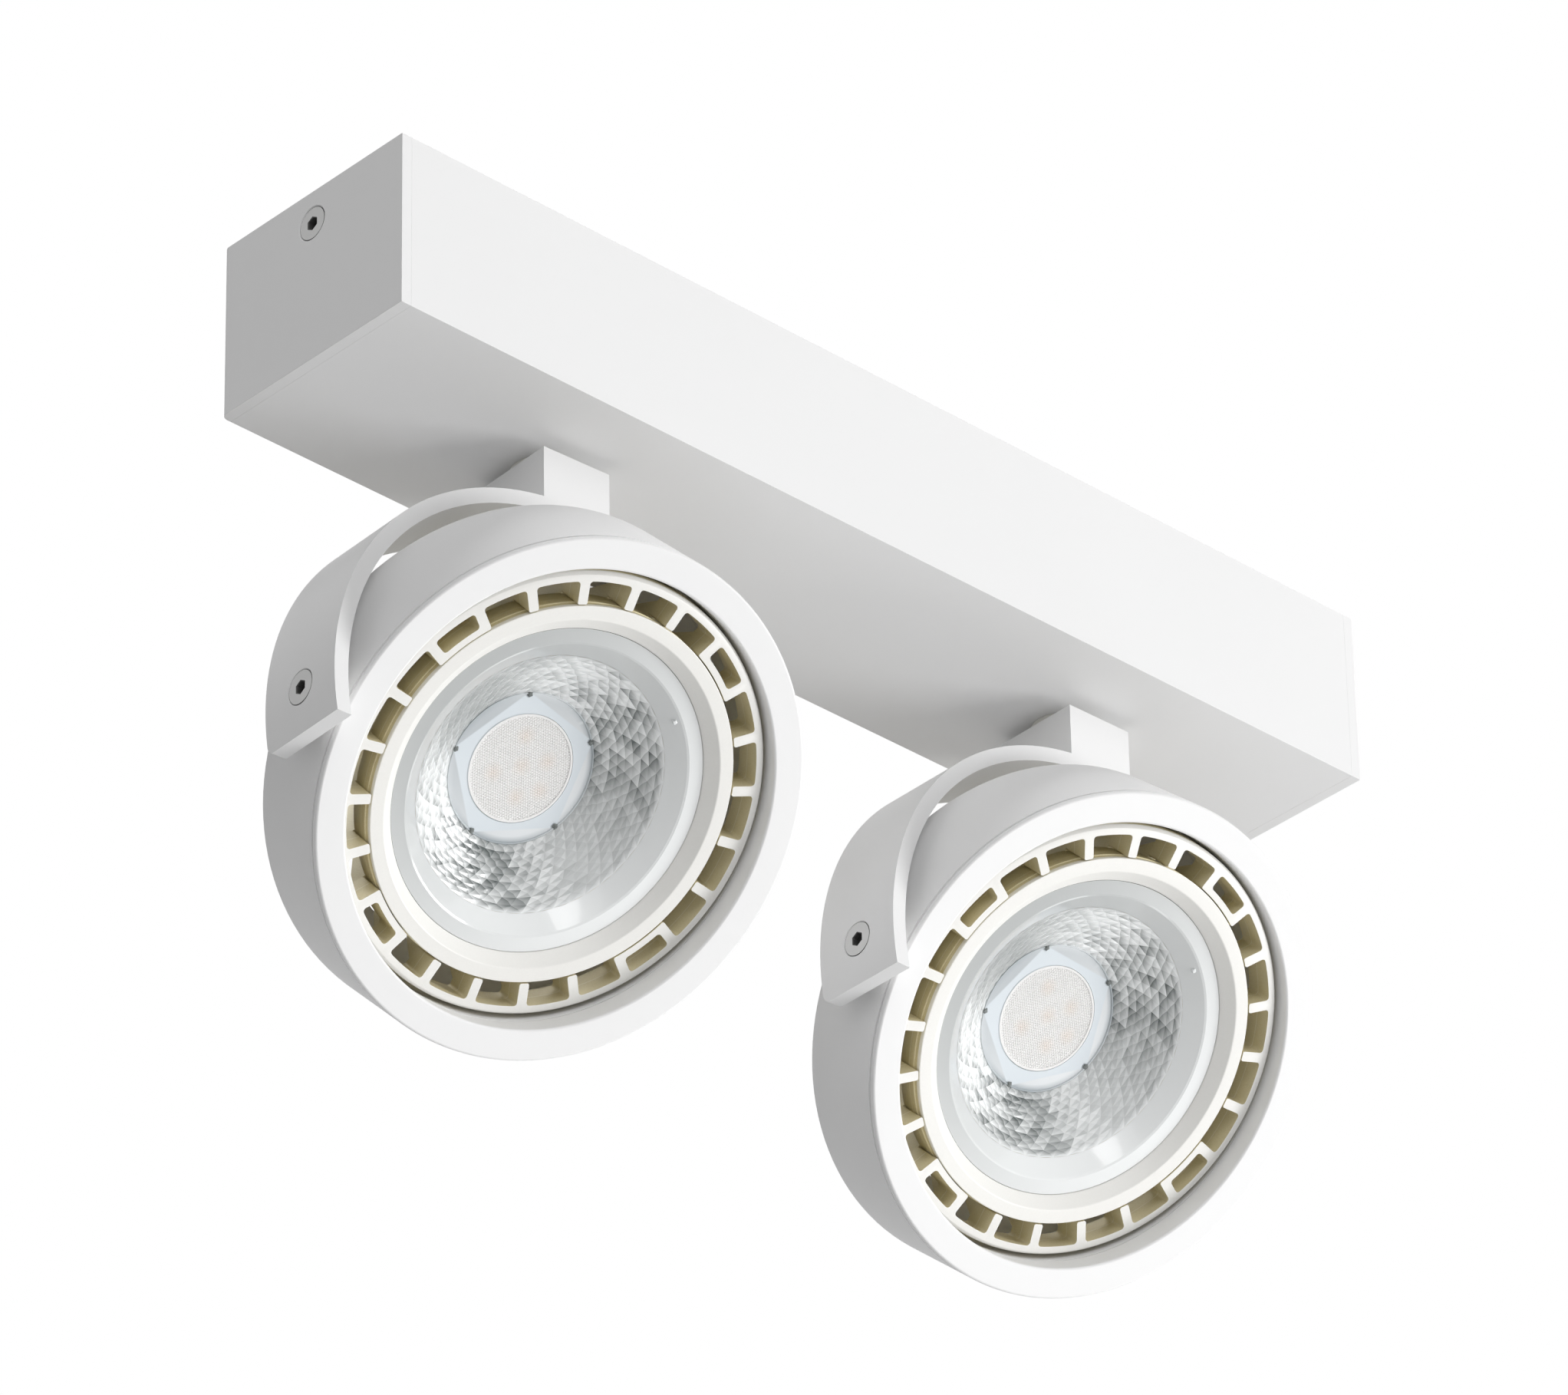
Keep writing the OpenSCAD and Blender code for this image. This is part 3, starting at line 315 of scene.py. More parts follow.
def toothed_face():
    """The face as one flat sheet: 24 slots, of which four are closed by a bar."""
    bm = bmesh.new()
    for k in range(TEETH):
        pitch = bmesh.new()
        half_pitch_face(pitch, barred=k % BARRED_EVERY == 0)
        half = pitch.faces[:] + pitch.edges[:] + pitch.verts[:]
        bmesh.ops.mirror(pitch, geom=half, axis="Y", merge_dist=0.0005 * MM)
        pitch.transform(Matrix.Rotation(2 * k * HALF_PITCH, 4, "Z"))
        take_in(bm, pitch)
    bmesh.ops.remove_doubles(bm, verts=bm.verts, dist=0.002 * MM)
    face_front(bm)
    return bm


def new_verts(made):
    return [v for v in made["geom"] if isinstance(v, bmesh.types.BMVert)]


def add_pocket_walls(bm):
    """Carries the face back by the rim's height, and leaves its outer wall to the rim's band."""
    back = new_verts(bmesh.ops.extrude_face_region(bm, geom=bm.faces[:]))
    bmesh.ops.translate(bm, verts=back, vec=(0, 0, -RIM_H * MM))
    bmesh.ops.recalc_face_normals(bm, faces=bm.faces)
    # Side walls and back take the khaki painted shade
    for face in bm.faces:
        face.material_index = CREAM if face.normal.z > 0.5 else KHAKI
    outer = [f for f in bm.faces
             if abs(f.normal.z) < 0.5 and min(v.co.xy.length for v in f.verts) > (LAND_R - 0.01) * MM]
    bmesh.ops.delete(bm, geom=outer, context="FACES")


def add_fin(bm, angle):
    """A fin that carries a tooth on to the lamp's back."""
    outline = [(44.8, 0.1 - RIM_H), (51, 0.1 - RIM_H), (51, -0.2 - RIM_H), (36, BACK_Z), (30, BACK_Z)]
    near = [bm.verts.new((r * MM, -TOOTH_HALF * MM, z * MM)) for r, z in outline]
    far = new_verts(bmesh.ops.extrude_face_region(bm, geom=[bm.faces.new(near)]))
    bmesh.ops.translate(bm, verts=far, vec=(0, 2 * TOOTH_HALF * MM, 0))
    # The fins take the khaki painted shade
    for face in {f for v in far + near for f in v.link_faces}:
        face.material_index = KHAKI
    bmesh.ops.rotate(bm, verts=far + near, cent=(0, 0, 0), matrix=Matrix.Rotation(angle, 3, "Z"))


def rim_core_and_fins():
    bm = bmesh.new()
    # The rim's rounded outer band, cream only down to 2 mm with khaki painted shade below, and its back
    turned(bm, [(LAND_R, 0), (54.62, -0.14), (55.06, -0.6), (55.34, -1.5), (LAMP_R, -3),
                (LAMP_R, -RIM_H), (LAND_R, -RIM_H)], steps=8 * TEETH, closed=False)
    # The core behind the lens, with the step under the trim that shows as a fine line
    turned(bm, [(46.9, -0.35), (46.9, -2.6), (47.15, -2.75), (46.9, -9.4), (31, BACK_Z), (0.01, BACK_Z),
                (0.01, -21.65), (20.5, -21.65), (20.5, -19.6), (33.3, -9.0), (37.9, -4.65),
                (40.45, -4.65), (40.45, -5.05), (45.6, -5.05), (45.6, -0.35)])
    # The core and everything below 2 mm take the khaki painted shade
    for face in bm.faces:
        middle = face.calc_center_median()
        in_core = middle.xy.length < (ROOT_R + 0.5) * MM
        face.material_index = KHAKI if in_core or middle.z < -2 * MM else CREAM
    for k in range(TEETH):
        add_fin(bm, (2 * k + 1) * HALF_PITCH)
    return bm


def cream_paint():
    # Sprayed over a die-cast skin: satin, with a grain about 0.5 mm across
    material, tree, shader, place = start_finish("cream_spray_paint_on_die_casting", IOR=1.5,
                                                 Roughness=0.38)
    grain = add_node(tree, "TexNoise", {"Vector": place, "Scale": 1 / (0.5 * MM), "Detail": 3.0})
    tone = add_node(tree, "Mix", {0: grain.outputs["Fac"], 6: linear("EFEEEA"), 7: linear("F4F3EF")},
                    data_type="RGBA")
    tree.links.new(tone.outputs[2], shader.inputs["Base Color"])
    bump = add_node(tree, "Bump", {"Height": grain.outputs["Fac"], "Strength": 0.2,
                                   "Distance": 0.03 * MM})
    tree.links.new(bump.outputs["Normal"], shader.inputs["Normal"])
    return material


def khaki_pocket_shade():
    # Khaki painted shade for the pockets, with metal flake: grainy at about 0.35 mm, with a pale painted
    # highlight along the seam line
    material, tree, shader, place = start_finish("khaki_pocket_shade_on_die_casting", IOR=1.5, Roughness=0.45,
                                                 Metallic=0.15)
    grain = add_node(tree, "TexNoise", {"Vector": place, "Scale": 1 / (0.35 * MM), "Detail": 4.0,
                                        "Roughness": 0.7})
    pocket_khaki = add_node(tree, "Mix", {0: grain.outputs["Fac"], 6: linear("D0C49A"), 7: linear("EDE6CA")},
                      data_type="RGBA")
    depth = add_node(tree, "Attribute", attribute_name="depth_mm")
    # The pale band at the seam's depth is a painted highlight
    seam_highlight = add_node(tree, "Math", {0: depth.outputs["Fac"], 1: SEAM_HIGHLIGHT_DEPTH, 2: SEAM_HIGHLIGHT_HALF},
                       operation="COMPARE")
    tone = add_node(tree, "Mix", {0: seam_highlight.outputs["Value"], 6: pocket_khaki.outputs[2],
                                  7: linear("EEE8D2")}, data_type="RGBA")
    tree.links.new(tone.outputs[2], shader.inputs["Base Color"])
    bump = add_node(tree, "Bump", {"Height": grain.outputs["Fac"], "Strength": 0.35,
                                   "Distance": 0.03 * MM})
    tree.links.new(bump.outputs["Normal"], shader.inputs["Normal"])
    return material


cream = cream_paint()
casting_finishes = [cream, khaki_pocket_shade()]
for side in SIDES:
    shape = toothed_face()
    add_pocket_walls(shape)
    take_in(shape, rim_core_and_fins())
    bmesh.ops.remove_doubles(shape, verts=shape.verts, dist=0.002 * MM)
    depth = shape.verts.layers.float.new("depth_mm")
    for vert in shape.verts:
        vert[depth] = -vert.co.z / MM
    shape.transform(lamp_place(side))
    add_piece(side + "_lamp_casting", shape, casting_finishes, side + "_head", "cream_paint",
              side + "_heat_sink", weighted=False)


# Trim: a turned and sprayed ring, clipped over the lens.
# Its flat outer band falls away to the lens in one smooth slope.
for side in SIDES:
    shape = bmesh.new()
    turned(shape, [(47, 0), (43.5, 0), (41.1, -2.2), (40.5, -2.8), (40.5, -5), (45.5, -5), (45.5, -1.5),
                   (47, -1.5)])
    soften_edges(shape, 0.25, over=25)
    shape.transform(lamp_place(side))
    add_piece(side + "_trim_ring", shape, [cream], side + "_head", "cream_paint", side + "_lamp_trim")


# Lens: one clear polycarbonate moulding. A flat flange and a smooth slope run into 9 rows of 48
# facets, which fall to a flat bluish floor around the honeycomb disc. Each facet's colour carries
# painted light and shade for the way it bends the light: its two halves differ, and by how much
# follows its turn about the lens's axis.
RINGS = 9
SECTORS = 48
TWIST = 3.2
FACET_TOP = (32.3, -7.0)
FACET_FOOT = (19.1, -18.0)
# How far the middle of a facet is raised, moved inwards and moved along its row
FACET_RISE = 0.22
FACET_IN = 0.1
FACET_ALONG = 0.35
LENS_FLANGE = [(40.4, -4.6), (40.4, -3), (36.9, -3), (36.4, -3.25), (35.2, -4.3), FACET_TOP]
LENS_FLOOR = [FACET_FOOT, (18.95, -17.8), (18.75, -17.8), (18.6, -18.15), (17.2, -18.15),
              (15.5, -18.15), (13.9, -18.15), (13.7, -18.0), (13.7, -19.6)]
# The board under the floor has five corners, each with a dark wedge of painted shade over it
BOARD_CORNERS = [54 + 72 * k for k in range(5)]
BOARD_INRADIUS = 15.5
WEDGE_R = 18.7
WEDGE_Z = -17.75
# The mould's gate was on the slope, above the facets
GATE_ANGLE = 49
GATE_R = 35.2
GATE_Z = -4.1
CLEAR, BLUISH, CORNER_SHADE = 0, 1, 2


def moulded_lens():
    material, tree, shader, place = start_finish("clear_moulded_polycarbonate", IOR=1.58,
                                                 Coat_Weight=0.6, Coat_Roughness=0.05)
    cells = add_node(tree, "UVMap", uv_map="facets").outputs["UV"]
    whole = add_node(tree, "VectorMath", {0: cells}, operation="FLOOR").outputs["Vector"]
    part = add_node(tree, "VectorMath", {0: cells}, operation="FRACTION").outputs["Vector"]
    luck = add_node(tree, "TexWhiteNoise", {"Vector": whole}, noise_dimensions="2D").outputs["Value"]
    across = add_node(tree, "SeparateXYZ", {"Vector": part}).outputs
    # Painted light and shade on each facet: it darkens along its diagonal, steps up at the crease, and
    # differs from the next by luck
    diagonal = add_node(tree, "Math", {0: across["X"], 1: across["Y"]}, operation="ADD").outputs["Value"]
    crease = add_node(tree, "Math", {0: diagonal, 1: 1.0}, operation="GREATER_THAN")
    fall = add_node(tree, "Math", {0: diagonal, 1: -0.5, 2: 0.2}, operation="MULTIPLY_ADD")
    step = add_node(tree, "Math", {0: crease.outputs["Value"], 1: 0.3, 2: fall.outputs["Value"]},
                    operation="MULTIPLY_ADD")
    mixed = add_node(tree, "Math", {0: luck, 1: 0.5, 2: step.outputs["Value"]}, operation="MULTIPLY_ADD")
    # The next two attributes carry the strength of the painted glints and the painted light level
    painted_glint = add_node(tree, "Attribute", attribute_name="painted_glint")
    level = add_node(tree, "Attribute", attribute_name="level")
    tone = add_node(tree, "Math", {0: mixed.outputs["Value"], 1: painted_glint.outputs["Fac"],
                                   2: level.outputs["Fac"]}, operation="MULTIPLY_ADD", use_clamp=True)
    shade = add_node(tree, "Mix", {0: tone.outputs["Value"], 6: linear("5C6362"), 7: linear("FAFCFC")},
                     data_type="RGBA")
    tree.links.new(shade.outputs[2], shader.inputs["Base Color"])
    flow = add_node(tree, "TexNoise", {"Vector": place, "Scale": 1 / (3 * MM), "Detail": 2.0})
    gloss = add_node(tree, "MapRange", {"Value": flow.outputs["Fac"], "To Min": 0.08, "To Max": 0.2})
    tree.links.new(gloss.outputs["Result"], shader.inputs["Roughness"])
    return material


def bluish_floor():
    # The white board shows through the floor as a five-sided patch; outside it the floor is a little
    # greyer, following the painted light level
    material, tree, shader, _ = start_finish("moulded_polycarbonate_over_white_board", IOR=1.58,
                                             Roughness=0.15)
    spot = add_node(tree, "UVMap", uv_map="facets").outputs["UV"]
    parts = add_node(tree, "SeparateXYZ", {"Vector": spot}).outputs
    half_side = pi / len(BOARD_CORNERS)
    turn = add_node(tree, "Math", {0: parts["Y"], 1: parts["X"]}, operation="ARCTAN2")
    past_corner = add_node(tree, "Math", {0: turn.outputs["Value"], 1: radians(BOARD_CORNERS[0])},
                           operation="SUBTRACT")
    from_corner = add_node(tree, "Math", {0: past_corner.outputs["Value"], 1: half_side},
                           operation="PINGPONG")
    from_flat = add_node(tree, "Math", {0: half_side, 1: from_corner.outputs["Value"]},
                         operation="SUBTRACT")
    lean = add_node(tree, "Math", {0: from_flat.outputs["Value"]}, operation="COSINE")
    radius = add_node(tree, "VectorMath", {0: spot}, operation="LENGTH")
    reach = add_node(tree, "Math", {0: lean.outputs["Value"], 1: radius.outputs["Value"]},
                     operation="MULTIPLY")
    beside = add_node(tree, "MapRange", {"Value": reach.outputs["Value"],
                                         "From Min": BOARD_INRADIUS - 0.2,
                                         "From Max": BOARD_INRADIUS + 0.2})
    # Painted light level by turn about the axis, for the floor outside the patch
    level = add_node(tree, "Attribute", attribute_name="level")
    grey = add_node(tree, "Mix", {0: level.outputs["Fac"], 6: linear("8F9AA0"), 7: linear("F4F7F9")},
                    data_type="RGBA")
    shade = add_node(tree, "Mix", {0: beside.outputs["Result"], 6: linear("E6EDF2"), 7: grey.outputs[2]},
                     data_type="RGBA")
    tree.links.new(shade.outputs[2], shader.inputs["Base Color"])
    return material


def corner_shade_finish():
    # Painted shade where the board's corners meet the lens: dark, and cloudy at 0.6 mm
    material, tree, shader, place = start_finish("painted_shade_at_board_corner", IOR=1.58,
                                                 Roughness=0.3)
    cloud = add_node(tree, "TexNoise", {"Vector": place, "Scale": 1 / (0.6 * MM), "Detail": 2.0})
    shade = add_node(tree, "Mix", {0: cloud.outputs["Fac"], 6: linear("2E3331"), 7: linear("9AA09E")},
                     data_type="RGBA")
    tree.links.new(shade.outputs[2], shader.inputs["Base Color"])
    return material


def painted_light_at(place, roll, faceted):
    """The painted light on the lens there, and how strongly its painted glints show."""
    turn = atan2(place.y, place.x) + radians(roll)
    if not faceted:
        # Painted light: the flange, the slope and the floor are palest at the right and a little below
        return 0.74 + 0.24 * cos(turn - radians(340)), 0.0
    # Painted reflection: three pale bands round the bowl, where it sends the light of the room back
    pale = 0.52 + 0.2 * cos(3 * turn - radians(285)) + 0.06 * cos(turn - radians(110))
    return pale, 0.2 + 1.3 * cos(turn - radians(60)) ** 2


def row_point(k):
    """Radius and height of the edge between two facet rows."""
    return [a + (b - a) * k / RINGS for a, b in zip(FACET_TOP, FACET_FOOT)]


def facet_spot(vert, near):
    """A point's place in facets round and down the bowl, counted from the nearest one."""
    down = (FACET_TOP[0] - vert.co.xy.length / MM) / (FACET_TOP[0] - FACET_FOOT[0]) * RINGS
    along = (atan2(vert.co.y, vert.co.x) - radians(TWIST) * down) / (2 * pi) * SECTORS
    return along + SECTORS * round((near - along) / SECTORS), down


def faceted_bowl():
    """The twisted rows of facets, each raised to a low point, with their cells as UVs."""
    bm = bmesh.new()
    turned(bm, [row_point(k) for k in range(RINGS + 1)], steps=SECTORS, closed=False)
    for k in range(RINGS + 1):
        row = [v for v in bm.verts if abs(v.co.z - row_point(k)[1] * MM) < 0.01 * MM]
        bmesh.ops.rotate(bm, verts=row, cent=(0, 0, 0), matrix=Matrix.Rotation(radians(TWIST) * k, 3, "Z"))
    face_front(bm)
    poked = bmesh.ops.poke(bm, faces=bm.faces[:], center_mode="MEAN")
    uvs = bm.loops.layers.uv.new("facets")
    for centre in poked["verts"]:
        here = facet_spot(centre, 0)
        middle = (int(here[0] // 1) + 0.5, int(here[1] // 1) + 0.5)
        for face in centre.link_faces:
            for loop in face.loops:
                loop[uvs].uv = middle if loop.vert == centre else facet_spot(loop.vert, middle[0])
    for centre in poked["verts"]:
        out = Vector((centre.co.x, centre.co.y, 0)).normalized()
        along = Vector((-out.y, out.x, 0))
        centre.co += (Vector((0, 0, FACET_RISE)) - out * FACET_IN + along * FACET_ALONG) * MM
    return bm


def flange_and_floor():
    bm = bmesh.new()
    uvs = bm.loops.layers.uv.new("facets")
    for outline, finish in ((LENS_FLANGE, CLEAR), (LENS_FLOOR, BLUISH)):
        before = set(bm.faces)
        turned(bm, outline, steps=144, closed=False)
        for face in set(bm.faces) - before:
            face.material_index = finish
            for loop in face.loops:
                loop[uvs].uv = loop.vert.co.xy / MM
    face_front(bm)
    return bm


def at_polar(r, angle, z):
    """A place on the lens, turned to face away from its axis."""
    return Matrix.Rotation(radians(angle), 4, "Z") @ Matrix.Translation((r * MM, 0, z * MM))


def add_corner_wedges(bm):
    """A small dark wedge of painted shade at each corner of the board."""
    for angle in BOARD_CORNERS:
        made = bmesh.ops.create_cone(bm, cap_ends=True, segments=5, radius1=0.9 * MM, radius2=0.35 * MM,
                                     depth=0.3 * MM, matrix=at_polar(WEDGE_R, angle, WEDGE_Z))
        for face in {f for v in made["verts"] for f in v.link_faces}:
            face.material_index = CORNER_SHADE


def add_gate_mark(bm, angle):
    """The small bright mark that the mould's gate left on the slope."""
    made = bmesh.ops.create_cube(bm, size=1 * MM, matrix=at_polar(GATE_R, angle, GATE_Z))
    edges = list({e for v in made["verts"] for e in v.link_edges})
    bmesh.ops.bevel(bm, geom=edges, offset=0.2 * MM, offset_type="OFFSET", affect="EDGES", segments=2,
                    profile=0.5, material=-1)


lens_finishes = [moulded_lens(), bluish_floor(), corner_shade_finish()]
for side in SIDES:
    shape = faceted_bowl()
    plain = flange_and_floor()
    add_corner_wedges(plain)
    add_gate_mark(plain, GATE_ANGLE - LAMP_ROLL[side])
    take_in(shape, plain)
    # Painted light and painted glints, set per point by its turn about the axis
    level = shape.verts.layers.float.new("level")
    painted_glint = shape.verts.layers.float.new("painted_glint")
    for vert in shape.verts:
        faceted = FACET_FOOT[0] - 0.5 < vert.co.xy.length / MM < FACET_TOP[0] - 0.05
        vert[level], vert[painted_glint] = painted_light_at(vert.co, LAMP_ROLL[side], faceted)
    shape.transform(lamp_place(side))
    add_piece(side + "_lens_moulding", shape, lens_finishes, side + "_head", "clear_optic",
              side + "_lens", smooth=12, weighted=False)


# Diffuser: a thin disc of clear domes over the chips. Domes 0.7 mm apart catch the light in white
# points, and the chips' phosphor shows through as faint warm patches.
DOME_PITCH = 0.7
DOME_ROW = 0.866 * DOME_PITCH
DOME_MIDDLE_Z = -18.3
DOMED_R = 13.1
DISC_R = 13.6
CHIP_SPOTS = [(-6.2, 3.4), (5.1, 6.2), (-4.4, -5.8), (6.4, -3.1), (0.6, 0.2), (1.2, -8.3)]


def honeycomb_plastic():
    # Clear plastic over white: near white itself, and warm where the phosphor shows through
    material, tree, shader, place = start_finish("moulded_acrylic_honeycomb", IOR=1.58, Roughness=0.12)
    warmth = add_node(tree, "Attribute", attribute_name="warmth")
    lit = add_node(tree, "Mix", {0: warmth.outputs["Fac"], 6: linear("FBFAF9"), 7: linear("F9E0CB")},
                   data_type="RGBA")
    drift = add_node(tree, "TexNoise", {"Vector": place, "Scale": 1 / (4 * MM), "Detail": 2.0})
    mild = add_node(tree, "MapRange", {"Value": drift.outputs["Fac"], "To Min": 0.0, "To Max": 0.12})
    shade = add_node(tree, "Mix", {0: mild.outputs["Result"], 6: lit.outputs[2], 7: linear("F0EEEC")},
                     data_type="RGBA")
    tree.links.new(shade.outputs[2], shader.inputs["Base Color"])
    return material


def add_dome(bm, x, y, warmth):
    """One six-sided dome with a flat top, as warm as the chips near it make it."""
    made = bmesh.ops.create_cone(bm, cap_ends=False, segments=6, radius1=0.404 * MM, radius2=0.2 * MM,
                                 depth=0.22 * MM,
                                 matrix=Matrix.Translation((x * MM, y * MM, DOME_MIDDLE_Z * MM))
                                 @ Matrix.Rotation(radians(30), 4, "Z"))
    middle = Vector((x, y)) * MM
    top = [v for v in made["verts"] if v.co.z > DOME_MIDDLE_Z * MM]
    bm.faces.new(sorted(top, key=lambda v: (v.co.xy - middle).angle_signed(Vector((1, 0)), 0)))
    near = sum(max(0, 0.32 - ((x - a) ** 2 + (y - b) ** 2) ** 0.5 / 9) for a, b in CHIP_SPOTS)
    for vert in made["verts"]:
        vert[warmth] = min(1, near)


def domed_disc():
    bm = bmesh.new()
    warmth = bm.verts.layers.float.new("warmth")
    rows = int(DISC_R / DOME_ROW) + 1
    columns = int(DISC_R / DOME_PITCH) + 1
    for j in range(-rows, rows + 1):
        for i in range(-columns, columns + 1):
            x, y = (i + 0.5 * (j % 2)) * DOME_PITCH, j * DOME_ROW
            if (x * x + y * y) ** 0.5 <= DOMED_R:
                add_dome(bm, x, y, warmth)
    for face in bm.faces:
        face.normal_update()
        if face.normal.z < 0:
            face.normal_flip()
    disc = bmesh.new()
    turned(disc, [(0.01, -18.42), (13.0, -18.42), (13.05, -18.05), (DISC_R, -18.05), (DISC_R, -19.2),
                  (0.01, -19.2)])
    take_in(bm, disc)
    return bm


dome_plastic = honeycomb_plastic()
for side in SIDES:
    shape = domed_disc()
    shape.transform(lamp_place(side))
    add_piece(side + "_honeycomb", shape, [dome_plastic], side + "_head", "warm_diffuser",
              side + "_diffuser", smooth=0, weighted=False)


# Inner parts: bracket, driver, terminals, swivel stacks, clips and holders. They are stock parts,
# seen only from above or behind, and each keeps its CAD shape under its own finish.
def grained(name, pale, deep, roughness, grain_mm, bump_mm, metallic=0.0, ior=1.5, stretch=1.0):
    """A finish with one grain that drives its tone, gloss and relief."""
    material, tree, shader, place = start_finish(name, Metallic=metallic, IOR=ior)
    laid = add_node(tree, "Mapping", {"Vector": place, "Scale": (1.0, stretch, stretch)})
    grain = add_node(tree, "TexNoise", {"Vector": laid.outputs["Vector"], "Scale": 1 / (grain_mm * MM),
                                        "Detail": 3.0})
    tone = add_node(tree, "Mix", {0: grain.outputs["Fac"], 6: linear(deep), 7: linear(pale)},
                    data_type="RGBA")
    tree.links.new(tone.outputs[2], shader.inputs["Base Color"])
    follow_grain(tree, shader, grain.outputs["Fac"], roughness, spread=0.06, strength=0.3,
                 depth_mm=bump_mm)
    return material


def both(*names):
    """The left and the right node of each name."""
    return [side + "_" + name for side in SIDES for name in names]


INNER = (
    # Bright zinc plate over rolled steel: cool, with faint lines along the sheet
    (grained("zinc_plated_steel", "C9CCCE", "A9ADB0", 0.3, 1.2, 0.01, metallic=1.0, stretch=6.0),
     ["ceiling_bracket", "bracket_nuts", "stop_pins", "driver_nuts"]
     + both("stem", "stop_washer", "disc_spring", "stem_nut", "clip_rivets")),
    # Spring steel, blued a little by tempering
    (grained("tempered_spring_steel", "B4B3AE", "8F8F8D", 0.34, 0.8, 0.01, metallic=1.0, stretch=4.0),
     both("lamp_clips")),
    # Moulded EPDM rubber: near black, with a dry bloom
    (grained("moulded_epdm_rubber", "2B2B2B", "1D1D1D", 0.7, 0.6, 0.02),
     ["cable_grommet"] + both("lead_bush")),
    # Injection-moulded polycarbonate housings, spark-eroded finish
    (grained("moulded_polycarbonate_housing", "EBE6D9", "E2DCCD", 0.5, 0.4, 0.02, ior=1.58),
     ["driver_case", "driver_lid"] + both("lamp_base")),
    # Glass-fibre board under green solder resist
    (grained("green_solder_resist", "1F6B3C", "17532E", 0.35, 1.0, 0.01, ior=1.55), ["driver_board"]),
    # Natural nylon: milky white, waxy
    (grained("natural_nylon", "EDECE6", "E2E0D8", 0.45, 0.7, 0.01, ior=1.53),
     ["terminal_block"] + both("spacer", "pivot_washer")),
    # Turned brass, left bare
    (grained("turned_brass", "D9BE7A", "BFA05A", 0.25, 0.5, 0.005, metallic=1.0, stretch=5.0),
     ["terminal_screws", "earth_nut", "earth_washer"] + both("contact_blades")),
    # Unglazed steatite ceramic, pressed and fired
    (grained("unglazed_steatite", "E9E4D8", "DDD6C7", 0.8, 0.3, 0.02, ior=1.6), both("lampholder")),
    # Aluminium-core board in white solder mask, under the chips' yellow phosphor
    (grained("white_board_with_phosphor", "F0E9CF", "E5D9AC", 0.4, 1.5, 0.01), both("light_board")),
)
for finish, nodes in INNER:
    for node in nodes:
        slots = frame["nodes"][node].data.materials
        slots.clear()
        slots.append(finish)


# Studio: a pale floor far below, a little even light all round, and five large soft lamps. The
# strongest stands in front of the long face and to the right, so the left sides fall into shade.
GROUND_HALF = 40
GROUND_Z = -3.3
GROUND_GLOW = 0.68
EVEN_LIGHT = 0.33
SOFTBOX_SIDE = 1.8
SOFTBOX_AWAY = 3.6
SOFTBOX_AIM = Vector((0, 0, -0.1))


def studio_floor():
    """A pale painted floor, which looks as white as the backdrop to the camera alone."""
    bm = bmesh.new()
    bmesh.ops.create_grid(bm, x_segments=4, y_segments=4, size=GROUND_HALF)
    bmesh.ops.translate(bm, verts=bm.verts, vec=(0, 0, GROUND_Z))
    mesh = bpy.data.meshes.new("studio_floor")
    bm.to_mesh(mesh)
    bm.free()
    ground = bpy.data.objects.new("studio_floor", mesh)
    bpy.context.scene.collection.objects.link(ground)
    paint, tree, shader, _ = start_finish("studio_floor_paint", Base_Color=linear("E9E9E9"),
                                          Roughness=0.9, Emission_Color=(1, 1, 1, 1))
    seen = add_node(tree, "LightPath").outputs["Is Camera Ray"]
    glow = add_node(tree, "Math", {0: seen, 1: GROUND_GLOW}, operation="MULTIPLY")
    tree.links.new(glow.outputs["Value"], shader.inputs["Emission Strength"])
    mesh.materials.append(paint)


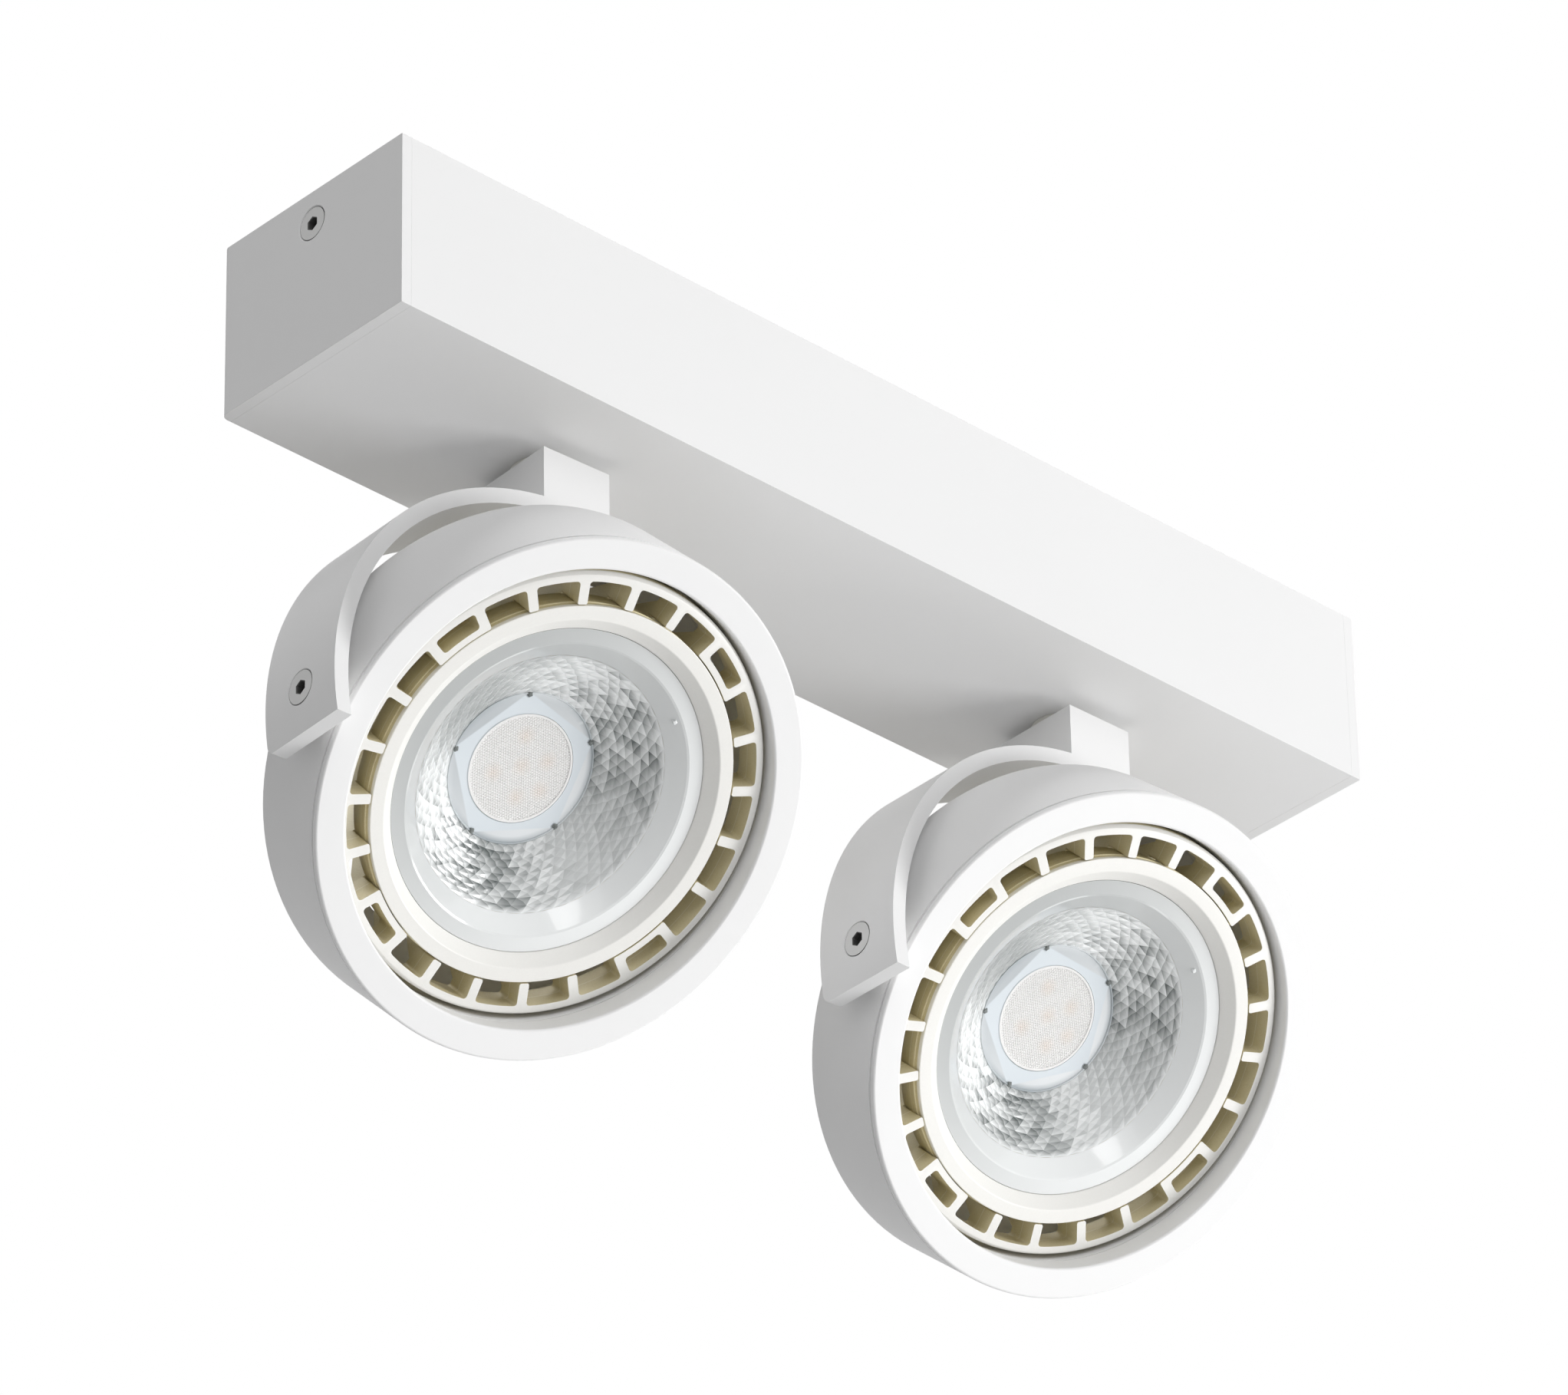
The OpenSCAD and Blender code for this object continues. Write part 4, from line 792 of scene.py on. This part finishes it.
def studio_world():
    """Even light, with a white backdrop for what the camera sees direct, mirrored or through."""
    world = bpy.data.worlds.new("studio")
    bpy.context.scene.world = world
    world.use_nodes = True
    tree = world.node_tree
    tree.nodes.clear()
    ray = add_node(tree, "LightPath").outputs
    mirrored = add_node(tree, "Math", {0: ray["Is Camera Ray"], 1: ray["Is Glossy Ray"]},
                        operation="MAXIMUM")
    seen = add_node(tree, "Math", {0: mirrored.outputs["Value"], 1: ray["Is Transmission Ray"]},
                    operation="MAXIMUM")
    shade = add_node(tree, "Mix", {0: seen.outputs["Value"], 6: (EVEN_LIGHT, EVEN_LIGHT, EVEN_LIGHT, 1),
                                   7: (1, 1, 1, 1)}, data_type="RGBA")
    backdrop = add_node(tree, "Background", {"Color": shade.outputs[2], "Strength": 1.0})
    add_node(tree, "OutputWorld", {"Surface": backdrop.outputs["Background"]})


def softbox(name, towards, power):
    """A square lamp in that direction from the light, which it faces."""
    data = bpy.data.lights.new(name, "AREA")
    data.shape = "SQUARE"
    data.size = SOFTBOX_SIDE
    data.energy = power
    lamp = bpy.data.objects.new(name, data)
    lamp.visible_camera = False
    bpy.context.scene.collection.objects.link(lamp)
    away = Vector(towards).normalized()
    lamp.matrix_world = (Matrix.Translation(away * SOFTBOX_AWAY + SOFTBOX_AIM)
                         @ away.to_track_quat("Z", "Y").to_matrix().to_4x4())


studio_floor()
studio_world()
softbox("right front softbox", (0.7, -0.66, -0.26), 94)
softbox("right softbox", (1, 0.05, -0.3), 18)
softbox("low softbox", (0.45, -0.1, -0.85), 18)
softbox("left front softbox", (-0.42, -0.85, 0.3), 28)
softbox("top softbox", (0, 0.1, 1), 56)

# Camera: below the ceiling and to the left of the light, looking up along it, as photographed.
# The focal length and the place were solved from the photograph's edges and circles.
PHOTO_W_PX = 2044
FOCAL_PX = 12842
SENSOR_W = 36
camera_data = bpy.data.cameras.new("camera")
camera_data.sensor_fit = "HORIZONTAL"
camera_data.sensor_width = SENSOR_W
camera_data.lens = FOCAL_PX / PHOTO_W_PX * SENSOR_W
camera_data.clip_end = 100
camera = bpy.data.objects.new("camera", camera_data)
bpy.context.scene.collection.objects.link(camera)
to_right = Vector((0.731, -0.6822, -0.0167))
to_top = Vector((-0.3529, -0.3989, 0.8464))
to_back = Vector((-0.584, -0.6128, -0.5323))
facing = Matrix((to_right, to_top, to_back)).transposed()
camera.matrix_world = Matrix.Translation((-1.4006, -1.4605, -1.3472)) @ facing.to_4x4()
bpy.context.scene.camera = camera
bpy.context.scene.view_settings.view_transform = "Standard"
